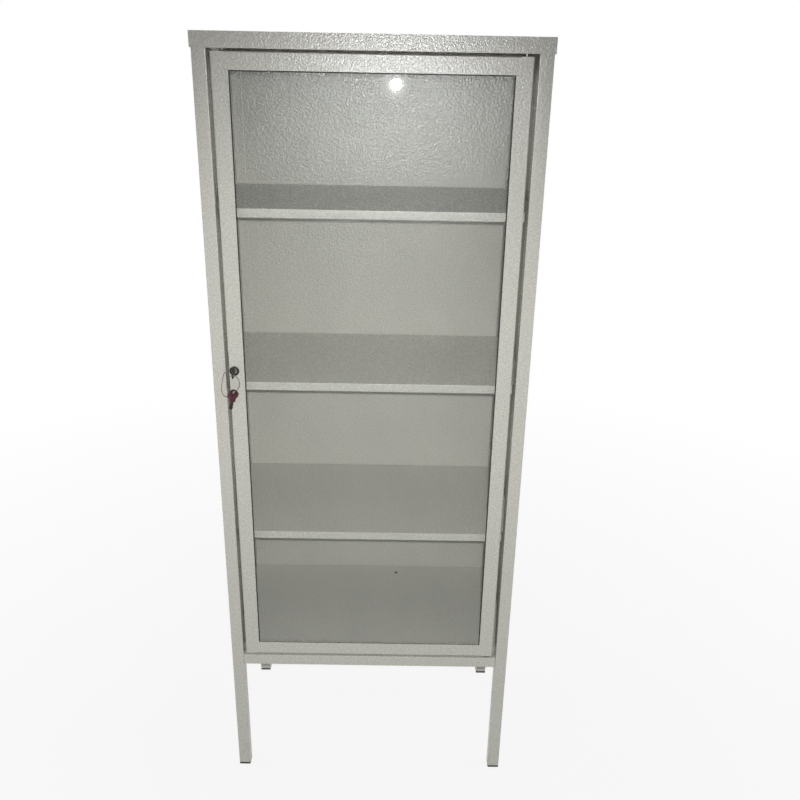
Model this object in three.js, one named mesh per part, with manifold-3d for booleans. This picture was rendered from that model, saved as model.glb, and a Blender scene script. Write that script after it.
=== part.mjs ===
// Glass door medical cabinet: a steel cabinet on square-tube legs with one pivoted glass door,
// a cam lock with its keys, and three fixed shelves.
// Millimetres. +Z is up, +X is the viewer's right and -Y faces the viewer.
// The model is laid out from the front face of the uprights, then centred over its footprint.

import * as THREE from 'three';
import { mergeVertices } from 'three/addons/utils/BufferGeometryUtils.js';
import Module from 'manifold-3d';

const wasm = await Module();
wasm.setup();

// Driving dimensions: the body
const BODY_WIDTH = 600;
const BODY_DEPTH = 350;
const BODY_HEIGHT = 1560;
const LEG_HEIGHT = 286;
const TUBE = 25;
const TUBE_WALL = 1.5;
const TUBE_ROUND = 2;
const SHEET = 1;
const BEND_RADIUS = 0.5;
const SEAT = 0.1;
const RUNNING_GAP = 0.3;

// Feet
const FOOT_THICKNESS = 5;
const FOOT_INSERT = 18;
const FOOT_INSERT_ROUND = 1;

// Panels, cap and floor
const CAP_OVERHANG = 2.5;
const CAP_FLANGE = 26;
const CAP_ROUND = 2;
const SIDE_FRONT_FLANGE = 12;
const SIDE_REAR_FLANGE = 20;
const BACK_EDGE = 0.5;
const FLOOR_RISE = 7;
const FLOOR_LAP = 5;

// Shelves and their brackets
const LOWEST_SHELF_HEIGHT = 606;
const SHELF_SPACING = 332;
const SHELF_NAMES = ['lower', 'middle', 'upper'];
const SHELF_FRONT_FLANGE = 17;
const SHELF_REAR_FLANGE = 15;
const SHELF_RETURN = 9;
const SHELF_SIDE_GAP = 1;
const SHELF_FRONT_INSET = 2;
const BRACKET_LEG = 15;
const BRACKET_SHEET = 1.5;
const BRACKET_LENGTH = 260;

// Door frame
const DOOR_GAP_LOCK = 6;
const DOOR_GAP_HINGE = 8;
const DOOR_GAP_TOP = 4.5;
const DOOR_GAP_BOTTOM = 5;
const DOOR_TUBE = 21;
const DOOR_LIP = 8;
const DOOR_LIP_SHEET = 1.5;
const DOOR_THICKNESS = 20;
const DOOR_WALL = 1.2;
const DOOR_CHAMFER = 1.5;
const DOOR_SWING_CLEARANCE = 3;
const END_PLATE = 2;

// Pivots
const PIVOT_INSET = 12;
const PIVOT_PIN = 6;
const PIVOT_BLOCK_HEIGHT = 25;
const PIVOT_ENGAGEMENT = 18;
const PIVOT_TAIL = 9;
const PIVOT_COLLAR = 16;
const PIVOT_COLLAR_HEIGHT = 3;
const PIVOT_HEAD = 10;
const PIVOT_HEAD_HEIGHT = 3;

// Door stop
const STOP_WIDTH = 12;
const STOP_SHEET = 1.5;
const STOP_DROP = 16;
const STOP_FRONT = 4;
const STOP_GAP = 0.6;

// Glass, its gasket and glazing beads
const GLASS = 4;
const GLASS_EDGE_GAP = 2;
const GASKET = 1;
const BEAD_SHEET = 1.2;
const BEAD_LEG = 11;
const BEAD_FOOT = 6.5;

// Cam lock
const LOCK_HEIGHT = 970;
const LOCK_INSET = 10.5;
const LOCK_FACE = 18.5;
const LOCK_FACE_THICKNESS = 3.5;
const LOCK_FACE_CHAMFER = 1;
const LOCK_BARREL = 16;
const LOCK_BARREL_END = 1.5;
const LOCK_NUT_ACROSS_FLATS = 19;
const LOCK_NUT_THICKNESS = 3.5;
const LOCK_PLUG = 11;
const PLUG_RECESS = 0.3;
const CAM_WIDTH = 10;
const CAM_SHEET = 2;
const CAM_CLEARANCE = 1.2;
const CAM_SIDE_CLEARANCE = 2;
const CAM_SCREW = 5;
const CAM_SCREW_DEPTH = 5.5;
const CAM_SCREW_HEAD = 9;
const CAM_SCREW_HEAD_HEIGHT = 2.5;

// Keys, ring and thread
const KEY_SHEET = 2;
const KEY_BLADE_LENGTH = 18;
const KEY_BLADE_HEIGHT = 7;
const KEY_TIP = 2;
const KEY_CUTS = 3;
const KEY_CUT_DEPTH = 1.6;
const KEY_NECK_LENGTH = 3.5;
const KEY_NECK_WIDTH = 9;
const KEY_BOW_RADIUS = 9.5;
const KEY_HOLE_RADIUS = 3.5;
const KEY_HOLE_OFFSET = 4;
const RING_WIDTH = 24;
const RING_HEIGHT = 31;
const RING_WIRE = 1.4;
const RING_OPENING = 1.5;
const RING_STEPS = 48;
const RING_SIDES = 8;
const SPARE_KEY_DROP = 2.2;
const SPARE_KEY_TWIST = 45;
const SPARE_KEY_LEAN = 15;
const THREAD = 1.2;
const THREAD_LOOPS = 8;
const THREAD_PITCH = 1.8;
const THREAD_SIDE_STANDOFF = 2.2;
const THREAD_FACE_STANDOFF = 2.6;
const THREAD_BELOW_HOLE = 1.1;
const THREAD_LOOP_STEPS = 24;
const THREAD_SIDES = 6;

// Smoothness of round stretches
const CORNER_STEPS = 1;
const ROUND_STEPS = 24;
const BOW_STEPS = 7;

// Planes that several pieces share
const halfWidth = BODY_WIDTH / 2;
const uprightInner = halfWidth - TUBE;
const wallInner = halfWidth - SHEET;
const baseTop = LEG_HEIGHT + TUBE;
const capUnderside = BODY_HEIGHT - SHEET;
const bodyTop = capUnderside - SEAT;
const topRailBottom = bodyTop - TUBE;
const capFlangeBottom = BODY_HEIGHT - CAP_FLANGE;
const backPanelFront = BODY_DEPTH - SHEET;
const sidePanelFront = TUBE + SEAT;
const sidePanelRear = backPanelFront - SEAT;
const interiorFront = sidePanelFront + SHEET + BEND_RADIUS;
const interiorRear = sidePanelRear - SHEET - BEND_RADIUS;

const doorLeft = -uprightInner + DOOR_GAP_LOCK;
const doorRight = uprightInner - DOOR_GAP_HINGE;
const doorBottom = baseTop + DOOR_GAP_BOTTOM;
const doorTop = Math.min(topRailBottom, capFlangeBottom) - DOOR_GAP_TOP;
const doorFace = DOOR_TUBE + DOOR_LIP;
const pivotX = doorRight - PIVOT_INSET;
const pivotY = DOOR_THICKNESS / 2;

const gasketFront = DOOR_LIP_SHEET + SEAT;
const glassFront = gasketFront + GASKET + SEAT;
const beadFront = glassFront + GLASS + SEAT;
const stileSwing = pivotY + Math.hypot(PIVOT_INSET, DOOR_THICKNESS / 2);
const shelfFront = stileSwing + DOOR_SWING_CLEARANCE;

const lockX = doorLeft + LOCK_INSET;
const barrelRear = DOOR_THICKNESS + SEAT + LOCK_NUT_THICKNESS + LOCK_BARREL_END;
const camFront = Math.max(TUBE + CAM_CLEARANCE, barrelRear + CAM_CLEARANCE);
const camReach = lockX + halfWidth - SIDE_FRONT_FLANGE - CAM_SIDE_CLEARANCE;
const plugFront = PLUG_RECESS - LOCK_FACE_THICKNESS;
const keyShoulder = plugFront - RUNNING_GAP;

// Surface finishes: colour, roughness, metalness
const FINISHES = {
  paint: { color: 0xc4c5bb, roughness: 0.5, metalness: 0.1 },
  plastic: { color: 0x232322, roughness: 0.6, metalness: 0 },
  rubber: { color: 0x2a2b2a, roughness: 0.8, metalness: 0 },
  glass: { color: 0xdfe8e2, roughness: 0.05, metalness: 0 },
  steel: { color: 0x9b9a95, roughness: 0.35, metalness: 0.9 },
  lock: { color: 0x57554f, roughness: 0.35, metalness: 0.9 },
  thread: { color: 0x5c1f2a, roughness: 0.9, metalness: 0 },
};

const cabinet = new THREE.Group();

function addPiece(parent, name, geometry, finish, position = [0, 0, 0]) {
  const mesh = new THREE.Mesh(geometry, new THREE.MeshStandardMaterial(FINISHES[finish]));
  mesh.name = name;
  mesh.position.set(...position);
  parent.add(mesh);
  return mesh;
}

// Solids and booleans

function toSolid(geometry) {
  const bare = geometry.clone();
  bare.deleteAttribute('normal');
  bare.deleteAttribute('uv');
  const merged = mergeVertices(bare, 1e-4);
  const corners = [];
  for (let i = 0; i < merged.index.count; i += 3) {
    const [a, b, c] = merged.index.array.slice(i, i + 3);
    if (a !== b && b !== c && c !== a) corners.push(a, b, c);
  }
  return new wasm.Manifold(new wasm.Mesh({
    numProp: 3,
    vertProperties: new Float32Array(merged.attributes.position.array),
    triVerts: new Uint32Array(corners),
  }));
}

function toGeometry(solid) {
  const mesh = solid.getMesh();
  const geometry = new THREE.BufferGeometry();
  geometry.setAttribute('position', new THREE.BufferAttribute(mesh.vertProperties, 3));
  geometry.setIndex(new THREE.BufferAttribute(mesh.triVerts, 1));
  return geometry;
}

function cut(geometry, ...tools) {
  return toGeometry(tools.reduce((solid, tool) => solid.subtract(toSolid(tool)), toSolid(geometry)));
}

function join(geometry, ...others) {
  return toGeometry(others.reduce((solid, other) => solid.add(toSolid(other)), toSolid(geometry)));
}

// Outlines

function roundedRect(width, height, radius) {
  const shape = new THREE.Shape();
  const x = width / 2 - radius;
  const y = height / 2 - radius;
  shape.absarc(x, y, radius, 0, Math.PI / 2);
  shape.absarc(-x, y, radius, Math.PI / 2, Math.PI);
  shape.absarc(-x, -y, radius, Math.PI, 1.5 * Math.PI);
  shape.absarc(x, -y, radius, 1.5 * Math.PI, 2 * Math.PI);
  shape.closePath();
  return shape;
}

function polygon(sides, circumradius) {
  const corners = Array.from({ length: sides }, (_, i) => {
    const angle = (2 * Math.PI * i) / sides;
    return new THREE.Vector2(circumradius * Math.cos(angle), circumradius * Math.sin(angle));
  });
  return new THREE.Shape(corners);
}

// One side of a sheet that follows a path with square bends, always on the path's left.
function walkLeftSide(shape, points, half, bend) {
  const leftOf = (d) => new THREE.Vector2(-d.y, d.x);
  const directions = points.slice(1).map((p, i) => p.clone().sub(points[i]).normalize());
  const first = points[0].clone().addScaledVector(leftOf(directions[0]), half);
  shape.currentPoint.copy(shape.curves.length ? shape.currentPoint : first);
  shape.lineTo(first.x, first.y);
  for (let i = 1; i < points.length - 1; i += 1) {
    const turn = Math.sign(directions[i - 1].cross(directions[i]));
    const inward = leftOf(directions[i - 1]).multiplyScalar(turn);
    const centre = points[i].clone().addScaledVector(directions[i - 1], -bend).addScaledVector(inward, bend);
    const start = Math.atan2(-inward.y, -inward.x);
    const end = start + (turn * Math.PI) / 2;
    shape.absarc(centre.x, centre.y, bend - turn * half, start, end, turn < 0);
  }
  const last = points.at(-1).clone().addScaledVector(leftOf(directions.at(-1)), half);
  shape.lineTo(last.x, last.y);
}

// A sheet of one thickness whose middle line is the given path.
function foldedSheet(path, thickness) {
  const points = path.map(([x, y]) => new THREE.Vector2(x, y));
  const bend = BEND_RADIUS + thickness / 2;
  const shape = new THREE.Shape();
  walkLeftSide(shape, points, thickness / 2, bend);
  walkLeftSide(shape, points.toReversed(), thickness / 2, bend);
  shape.closePath();
  return shape;
}

// Swept shapes. A profile swept along X is drawn in (Y, Z), along Y in (Z, X), along Z in (X, Y).

const X_AXIS = new THREE.Vector3(1, 0, 0);
const Y_AXIS = new THREE.Vector3(0, 1, 0);
const Z_AXIS = new THREE.Vector3(0, 0, 1);
const SWEEPS = {
  x: new THREE.Matrix4().makeBasis(Y_AXIS, Z_AXIS, X_AXIS),
  y: new THREE.Matrix4().makeBasis(Z_AXIS, X_AXIS, Y_AXIS),
  z: new THREE.Matrix4(),
};

function sweep(shape, length, axis, curveSegments = CORNER_STEPS) {
  const geometry = new THREE.ExtrudeGeometry(shape, { depth: length, bevelEnabled: false, curveSegments });
  geometry.translate(0, 0, -length / 2);
  return geometry.applyMatrix4(SWEEPS[axis]);
}

function block(width, depth, height) {
  return new THREE.BoxGeometry(width, depth, height);
}

function rod(diameter, length, axis) {
  const geometry = new THREE.CylinderGeometry(diameter / 2, diameter / 2, length, ROUND_STEPS);
  return geometry.rotateX(Math.PI / 2).applyMatrix4(SWEEPS[axis]);
}

function squareTube(length, axis) {
  const shape = roundedRect(TUBE, TUBE, TUBE_ROUND);
  const bore = TUBE - 2 * TUBE_WALL;
  shape.holes.push(roundedRect(bore, bore, Math.max(TUBE_ROUND - TUBE_WALL, BEND_RADIUS)));
  return sweep(shape, length, axis);
}

// A door member along X or Z, drawn from its outer edge and its front face: a tube with a lip at the front
// that reaches towards the opening.
function doorMember(toward, length, axis) {
  const place = ([across, depth]) => {
    const corner = [toward * across, depth];
    return new THREE.Vector2(...(axis === 'z' ? corner : corner.reverse()));
  };
  const outline = [
    [DOOR_CHAMFER, 0],
    [doorFace, 0],
    [doorFace, DOOR_LIP_SHEET],
    [DOOR_TUBE, DOOR_LIP_SHEET],
    [DOOR_TUBE, DOOR_THICKNESS - DOOR_CHAMFER],
    [DOOR_TUBE - DOOR_CHAMFER, DOOR_THICKNESS],
    [DOOR_CHAMFER, DOOR_THICKNESS],
    [0, DOOR_THICKNESS - DOOR_CHAMFER],
    [0, DOOR_CHAMFER],
  ];
  const bore = [
    [DOOR_WALL, DOOR_WALL],
    [DOOR_TUBE - DOOR_WALL, DOOR_WALL],
    [DOOR_TUBE - DOOR_WALL, DOOR_THICKNESS - DOOR_WALL],
    [DOOR_WALL, DOOR_THICKNESS - DOOR_WALL],
  ];
  const anticlockwise = (points) => (THREE.ShapeUtils.isClockWise(points) ? points.reverse() : points);
  const shape = new THREE.Shape(anticlockwise(outline.map(place)));
  shape.holes.push(new THREE.Path(anticlockwise(bore.map(place))));
  return sweep(shape, length, axis);
}

// A turned piece about the Y axis from [radius, distance] points.
function turned(profile) {
  const points = profile.map(([radius, distance]) => new THREE.Vector2(radius, distance));
  return toGeometry(toSolid(new THREE.LatheGeometry(points, ROUND_STEPS)));
}

function turnedUpright(profile) {
  return turned(profile).rotateX(Math.PI / 2);
}

// A closed round wire through the given points, one ring of corners at each.
function wire(points, diameter, sides) {
  const positions = [];
  const triangles = [];
  const tangentAt = (i) => {
    const before = points[Math.max(i - 1, 0)];
    const after = points[Math.min(i + 1, points.length - 1)];
    return after.clone().sub(before).normalize();
  };
  let tangent = tangentAt(0);
  const normal = new THREE.Vector3().crossVectors(tangent, Math.abs(tangent.z) < 0.9 ? Z_AXIS : X_AXIS);
  normal.normalize();
  points.forEach((point, i) => {
    const next = tangentAt(i);
    normal.applyQuaternion(new THREE.Quaternion().setFromUnitVectors(tangent, next));
    tangent = next;
    const binormal = new THREE.Vector3().crossVectors(tangent, normal);
    for (let k = 0; k < sides; k += 1) {
      const angle = (2 * Math.PI * k) / sides;
      const corner = point.clone()
        .addScaledVector(normal, (diameter / 2) * Math.cos(angle))
        .addScaledVector(binormal, (diameter / 2) * Math.sin(angle));
      positions.push(corner.x, corner.y, corner.z);
    }
  });
  const lastRing = (points.length - 1) * sides;
  for (let start = 0; start < lastRing; start += sides) {
    for (let k = 0; k < sides; k += 1) {
      const beside = (k + 1) % sides;
      triangles.push(start + k, start + beside, start + sides + beside);
      triangles.push(start + k, start + sides + beside, start + sides + k);
    }
  }
  for (let k = 1; k < sides - 1; k += 1) {
    triangles.push(0, k + 1, k);
    triangles.push(lastRing, lastRing + k, lastRing + k + 1);
  }
  const geometry = new THREE.BufferGeometry();
  geometry.setAttribute('position', new THREE.Float32BufferAttribute(positions, 3));
  geometry.setIndex(triangles);
  return geometry;
}

// Legs, uprights and feet

function foot() {
  const insert = TUBE - 2 * TUBE_WALL - 2 * RUNNING_GAP;
  const base = sweep(roundedRect(TUBE, TUBE, TUBE_ROUND), FOOT_THICKNESS, 'z');
  const height = FOOT_THICKNESS + FOOT_INSERT;
  const stem = sweep(roundedRect(insert, insert, FOOT_INSERT_ROUND), height, 'z');
  base.translate(0, 0, FOOT_THICKNESS / 2);
  stem.translate(0, 0, height / 2);
  return join(base, stem);
}

function addLeg(name, footName, x, y, top) {
  const bottom = FOOT_THICKNESS + SEAT;
  addPiece(cabinet, name, squareTube(top - bottom, 'z'), 'paint', [x, y, (top + bottom) / 2]);
  addPiece(cabinet, footName, foot(), 'plastic', [x, y, 0]);
}

const legX = halfWidth - TUBE / 2;
const rearLegTop = LEG_HEIGHT - SEAT;
for (const [side, sign] of [['left', -1], ['right', 1]]) {
  addLeg(`front_upright_${side}`, `foot_front_${side}`, sign * legX, TUBE / 2, bodyTop);
  addLeg(`rear_leg_${side}`, `foot_rear_${side}`, sign * legX, BODY_DEPTH - TUBE / 2, rearLegTop);
}

// Base frame and top rail

const baseZ = LEG_HEIGHT + TUBE / 2;
const frontRailLength = 2 * (uprightInner - SEAT);
const sideRailX = wallInner - SEAT - TUBE / 2;
const sideRailLength = interiorRear - interiorFront;
const sideRailY = (interiorRear + interiorFront) / 2;
const rearRailLength = 2 * (sideRailX - TUBE / 2 - SEAT);
const pinHole = PIVOT_PIN + 2 * RUNNING_GAP;

function pivotRail(wallZ) {
  const hole = rod(pinHole, TUBE / 2, 'z').translate(pivotX, pivotY - TUBE / 2, wallZ);
  return cut(squareTube(frontRailLength, 'x'), hole);
}

addPiece(cabinet, 'bottom_front_rail', pivotRail(TUBE / 2), 'paint', [0, TUBE / 2, baseZ]);
const rearRailY = interiorRear - TUBE / 2;
addPiece(cabinet, 'bottom_rear_rail', squareTube(rearRailLength, 'x'), 'paint', [0, rearRailY, baseZ]);
for (const [side, sign] of [['left', -1], ['right', 1]]) {
  const place = [sign * sideRailX, sideRailY, baseZ];
  addPiece(cabinet, `bottom_side_rail_${side}`, squareTube(sideRailLength, 'y'), 'paint', place);
}
const topRailPlace = [0, TUBE / 2, topRailBottom + TUBE / 2];
addPiece(cabinet, 'top_front_rail', pivotRail(-TUBE / 2), 'paint', topRailPlace);

// Panels

const halfInside = wallInner - SHELF_SIDE_GAP;
const panelHeight = bodyTop - LEG_HEIGHT;
const panelZ = LEG_HEIGHT + panelHeight / 2;

function sidePanel(sign) {
  const wall = sign * (halfWidth - SHEET / 2);
  const front = sidePanelFront + SHEET / 2;
  const rear = sidePanelRear - SHEET / 2;
  const path = [
    [sign * (halfWidth - SIDE_FRONT_FLANGE), front],
    [wall, front],
    [wall, rear],
    [sign * (halfWidth - SIDE_REAR_FLANGE), rear],
  ];
  return sweep(foldedSheet(path, SHEET), panelHeight, 'z');
}

addPiece(cabinet, 'side_panel_left', sidePanel(-1), 'paint', [0, 0, panelZ]);
addPiece(cabinet, 'side_panel_right', sidePanel(1), 'paint', [0, 0, panelZ]);

const backPanel = block(BODY_WIDTH - 2 * BACK_EDGE, SHEET, panelHeight);
addPiece(cabinet, 'back_panel', backPanel, 'paint', [0, BODY_DEPTH - SHEET / 2, panelZ]);

// Clears the front corners of a sheet inside the body round the uprights.
function clearFrontCorners(sheet, top) {
  const halfFront = uprightInner - SHELF_FRONT_INSET;
  const notch = halfInside - halfFront;
  const notchDepth = 2 * (SHELF_RETURN + SHEET);
  const corners = [-1, 1].map((sign) => {
    const corner = block(2 * notch, notchDepth, 3 * SHELF_FRONT_FLANGE);
    return corner.translate(sign * (halfFront + notch), shelfFront, top);
  });
  return cut(sheet, ...corners);
}

// The floor stands on the front rail with a lap and on the rear rail with its edge.
function floorPanel() {
  const top = baseTop + FLOOR_RISE;
  const surface = top - SHEET / 2;
  const lap = baseTop + SEAT + SHEET / 2;
  const front = shelfFront + SHEET / 2;
  const rear = interiorRear - SHEET / 2;
  const path = [
    [TUBE - FLOOR_LAP, lap],
    [front, lap],
    [front, surface],
    [rear, surface],
    [rear, baseTop + SEAT],
  ];
  return clearFrontCorners(sweep(foldedSheet(path, SHEET), 2 * halfInside, 'x'), top);
}

addPiece(cabinet, 'floor_panel', floorPanel(), 'paint');

function topCap() {
  const width = BODY_WIDTH + 2 * CAP_OVERHANG;
  const depth = BODY_DEPTH + 2 * (SHEET + SEAT);
  const tray = sweep(roundedRect(width, depth, CAP_ROUND), CAP_FLANGE, 'z');
  const innerRound = Math.max(CAP_ROUND - SHEET, BEND_RADIUS);
  const hollow = sweep(roundedRect(width - 2 * SHEET, depth - 2 * SHEET, innerRound), CAP_FLANGE, 'z');
  hollow.translate(0, 0, -SHEET);
  return cut(tray, hollow);
}

addPiece(cabinet, 'top_cap', topCap(), 'paint', [0, BODY_DEPTH / 2, BODY_HEIGHT - CAP_FLANGE / 2]);

// Shelves on their brackets

function shelf(top) {
  const surface = top - SHEET / 2;
  const front = shelfFront + SHEET / 2;
  const rear = interiorRear - SHEET / 2;
  const hem = top - SHELF_FRONT_FLANGE + SHEET / 2;
  const path = [
    [front + SHELF_RETURN, hem],
    [front, hem],
    [front, surface],
    [rear, surface],
    [rear, top - SHELF_REAR_FLANGE],
  ];
  return clearFrontCorners(sweep(foldedSheet(path, SHEET), 2 * halfInside, 'x'), top);
}

function shelfBracket(sign, top) {
  const wall = sign * (wallInner - SEAT - BRACKET_SHEET / 2);
  const ledge = top - SHEET - SEAT - BRACKET_SHEET / 2;
  const tip = sign * (wallInner - SEAT - BRACKET_LEG);
  const path = [[tip, -ledge], [wall, -ledge], [wall, BRACKET_LEG - BRACKET_SHEET / 2 - ledge]];
  const profile = foldedSheet(path, BRACKET_SHEET);
  return sweep(profile, BRACKET_LENGTH, 'z').rotateX(-Math.PI / 2);
}

const bracketY = (shelfFront + interiorRear) / 2;
SHELF_NAMES.forEach((level, i) => {
  const top = LOWEST_SHELF_HEIGHT + i * SHELF_SPACING;
  addPiece(cabinet, `shelf_${level}`, shelf(top), 'paint');
  addPiece(cabinet, `shelf_bracket_left_${level}`, shelfBracket(-1, top), 'paint', [0, bracketY, 0]);
  addPiece(cabinet, `shelf_bracket_right_${level}`, shelfBracket(1, top), 'paint', [0, bracketY, 0]);
});

// Pivots fixed to the frame

const pinRadius = PIVOT_PIN / 2;
const washerThickness = DOOR_GAP_BOTTOM - PIVOT_COLLAR_HEIGHT - SEAT - 2 * RUNNING_GAP;

const lowerPin = turnedUpright([
  [0, -PIVOT_TAIL],
  [pinRadius, -PIVOT_TAIL],
  [pinRadius, SEAT],
  [PIVOT_COLLAR / 2, SEAT],
  [PIVOT_COLLAR / 2, SEAT + PIVOT_COLLAR_HEIGHT],
  [pinRadius, SEAT + PIVOT_COLLAR_HEIGHT],
  [pinRadius, DOOR_GAP_BOTTOM + PIVOT_ENGAGEMENT],
  [0, DOOR_GAP_BOTTOM + PIVOT_ENGAGEMENT],
]);
addPiece(cabinet, 'pivot_pin_lower', lowerPin, 'steel', [pivotX, pivotY, baseTop]);

const washer = turnedUpright([
  [pinHole / 2, 0],
  [PIVOT_COLLAR / 2, 0],
  [PIVOT_COLLAR / 2, washerThickness],
  [pinHole / 2, washerThickness],
  [pinHole / 2, 0],
]);
const washerZ = baseTop + SEAT + PIVOT_COLLAR_HEIGHT + RUNNING_GAP;
addPiece(cabinet, 'thrust_washer', washer, 'steel', [pivotX, pivotY, washerZ]);

const headSeat = TUBE_WALL + SEAT;
const upperPin = turnedUpright([
  [0, doorTop - PIVOT_ENGAGEMENT - topRailBottom],
  [pinRadius, doorTop - PIVOT_ENGAGEMENT - topRailBottom],
  [pinRadius, headSeat],
  [PIVOT_HEAD / 2, headSeat],
  [PIVOT_HEAD / 2, headSeat + PIVOT_HEAD_HEIGHT],
  [0, headSeat + PIVOT_HEAD_HEIGHT],
]);
addPiece(cabinet, 'pivot_pin_upper', upperPin, 'steel', [pivotX, pivotY, topRailBottom]);

// Door stop under the top rail

function doorStop() {
  const ledge = topRailBottom - SEAT - STOP_SHEET / 2;
  const face = DOOR_THICKNESS + STOP_GAP + STOP_SHEET / 2;
  const path = [[STOP_FRONT, ledge], [face, ledge], [face, topRailBottom - STOP_DROP]];
  return sweep(foldedSheet(path, STOP_SHEET), STOP_WIDTH, 'x');
}

addPiece(cabinet, 'door_stop', doorStop(), 'paint', [doorLeft + STOP_WIDTH / 2, 0, 0]);

// Door frame

const doorHeight = doorTop - doorBottom;
const doorMiddle = (doorTop + doorBottom) / 2;
const tubeLeft = doorLeft + DOOR_TUBE;
const tubeRight = doorRight - DOOR_TUBE;
const tubeBottom = doorBottom + DOOR_TUBE;
const tubeTop = doorTop - DOOR_TUBE;
const openWidth = doorRight - doorLeft - 2 * doorFace;
const openHeight = doorHeight - 2 * doorFace;
const openX = (doorLeft + doorRight) / 2;

// The stiles' lips stop at the rails' lips.
function stile(toward, ...holes) {
  const ends = [-1, 1].map((end) => {
    const clearing = block(2 * DOOR_LIP, DOOR_THICKNESS, 2 * (doorFace + SEAT));
    return clearing.translate(toward * doorFace, 0, (end * doorHeight) / 2);
  });
  return cut(doorMember(toward, doorHeight, 'z'), ...ends, ...holes);
}

const lockHole = rod(LOCK_BARREL + 2 * RUNNING_GAP, 3 * DOOR_THICKNESS, 'y');
lockHole.translate(LOCK_INSET, 0, LOCK_HEIGHT - doorMiddle);
addPiece(cabinet, 'door_stile_lock', stile(1, lockHole), 'paint', [doorLeft, 0, doorMiddle]);
addPiece(cabinet, 'door_stile_hinge', stile(-1), 'paint', [doorRight, 0, doorMiddle]);

const railLength = tubeRight - tubeLeft - 2 * SEAT;
addPiece(cabinet, 'door_rail_top', doorMember(-1, railLength, 'x'), 'paint', [openX, 0, doorTop]);
addPiece(cabinet, 'door_rail_bottom', doorMember(1, railLength, 'x'), 'paint', [openX, 0, doorBottom]);

// Blocks in the hinge stile's ends, bored for the pins, and plates in the lock stile's ends

const plugWidth = DOOR_TUBE - 2 * (DOOR_WALL + SEAT);
const plugDepth = DOOR_THICKNESS - 2 * (DOOR_WALL + SEAT);
const plugSection = roundedRect(plugWidth, plugDepth, BEND_RADIUS);
const hingeBlockX = doorRight - DOOR_TUBE / 2;
const pinBore = rod(pinHole, 2 * PIVOT_BLOCK_HEIGHT, 'z').translate(pivotX - hingeBlockX, 0, 0);
const boredBlock = cut(sweep(plugSection, PIVOT_BLOCK_HEIGHT, 'z'), pinBore);
const blockInset = PIVOT_BLOCK_HEIGHT / 2;
addPiece(cabinet, 'pivot_block_lower', boredBlock, 'paint', [hingeBlockX, pivotY, doorBottom + blockInset]);
addPiece(cabinet, 'pivot_block_upper', boredBlock.clone(), 'paint', [hingeBlockX, pivotY, doorTop - blockInset]);

const endPlate = sweep(plugSection, END_PLATE, 'z');
const plateX = doorLeft + DOOR_TUBE / 2;
const plateInset = END_PLATE / 2;
addPiece(cabinet, 'stile_plate_lower', endPlate, 'paint', [plateX, pivotY, doorBottom + plateInset]);
addPiece(cabinet, 'stile_plate_upper', endPlate.clone(), 'paint', [plateX, pivotY, doorTop - plateInset]);

// Glass and gasket behind the lips

const paneWidth = tubeRight - tubeLeft - 2 * GLASS_EDGE_GAP;
const paneHeight = tubeTop - tubeBottom - 2 * GLASS_EDGE_GAP;
const pane = block(paneWidth, GLASS, paneHeight);
addPiece(cabinet, 'door_glass', pane, 'glass', [openX, glassFront + GLASS / 2, doorMiddle]);

const gasketWindow = block(openWidth, 2 * GASKET, openHeight);
const gasket = cut(block(paneWidth, GASKET, paneHeight), gasketWindow);
addPiece(cabinet, 'glass_gasket', gasket, 'rubber', [openX, gasketFront + GASKET / 2, doorMiddle]);

// Glazing beads: angles along the tubes' inner sides with one foot against the back of the pane

function bead(toward, length, axis) {
  const leg = SEAT + BEAD_SHEET / 2;
  const foot = beadFront + BEAD_SHEET / 2;
  const path = [[leg, beadFront + BEAD_LEG], [leg, foot], [BEAD_FOOT, foot]].map(([across, depth]) => {
    const corner = [toward * across, depth];
    return axis === 'z' ? corner : corner.reverse();
  });
  return sweep(foldedSheet(path, BEAD_SHEET), length, axis);
}

const sideBeadLength = tubeTop - tubeBottom - 2 * SEAT;
const endBeadLength = tubeRight - tubeLeft - 2 * (BEAD_FOOT + SEAT);
addPiece(cabinet, 'glazing_bead_lock', bead(1, sideBeadLength, 'z'), 'paint', [tubeLeft, 0, doorMiddle]);
addPiece(cabinet, 'glazing_bead_hinge', bead(-1, sideBeadLength, 'z'), 'paint', [tubeRight, 0, doorMiddle]);
addPiece(cabinet, 'glazing_bead_bottom', bead(1, endBeadLength, 'x'), 'paint', [openX, 0, tubeBottom]);
addPiece(cabinet, 'glazing_bead_top', bead(-1, endBeadLength, 'x'), 'paint', [openX, 0, tubeTop]);

// Cam lock: body and nut fixed in the lock stile, plug with cam and screw turning in the body

const lock = new THREE.Group();
lock.position.set(lockX, 0, LOCK_HEIGHT);
cabinet.add(lock);

const plugBore = LOCK_PLUG / 2 + RUNNING_GAP;
const faceRadius = LOCK_FACE / 2;
const lockBody = turned([
  [plugBore, -LOCK_FACE_THICKNESS],
  [faceRadius - LOCK_FACE_CHAMFER, -LOCK_FACE_THICKNESS],
  [faceRadius, LOCK_FACE_CHAMFER - LOCK_FACE_THICKNESS],
  [faceRadius, -SEAT],
  [LOCK_BARREL / 2, -SEAT],
  [LOCK_BARREL / 2, barrelRear],
  [plugBore, barrelRear],
  [plugBore, -LOCK_FACE_THICKNESS],
]);
addPiece(lock, 'lock_body', lockBody, 'lock');

const nutShape = polygon(6, LOCK_NUT_ACROSS_FLATS / Math.sqrt(3));
const nutBore = rod(LOCK_BARREL + 2 * RUNNING_GAP, 2 * LOCK_NUT_THICKNESS, 'y');
const nut = cut(sweep(nutShape, LOCK_NUT_THICKNESS, 'y'), nutBore);
const nutY = DOOR_THICKNESS + SEAT + LOCK_NUT_THICKNESS / 2;
addPiece(lock, 'lock_nut', nut, 'steel', [0, nutY, 0]);

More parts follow.
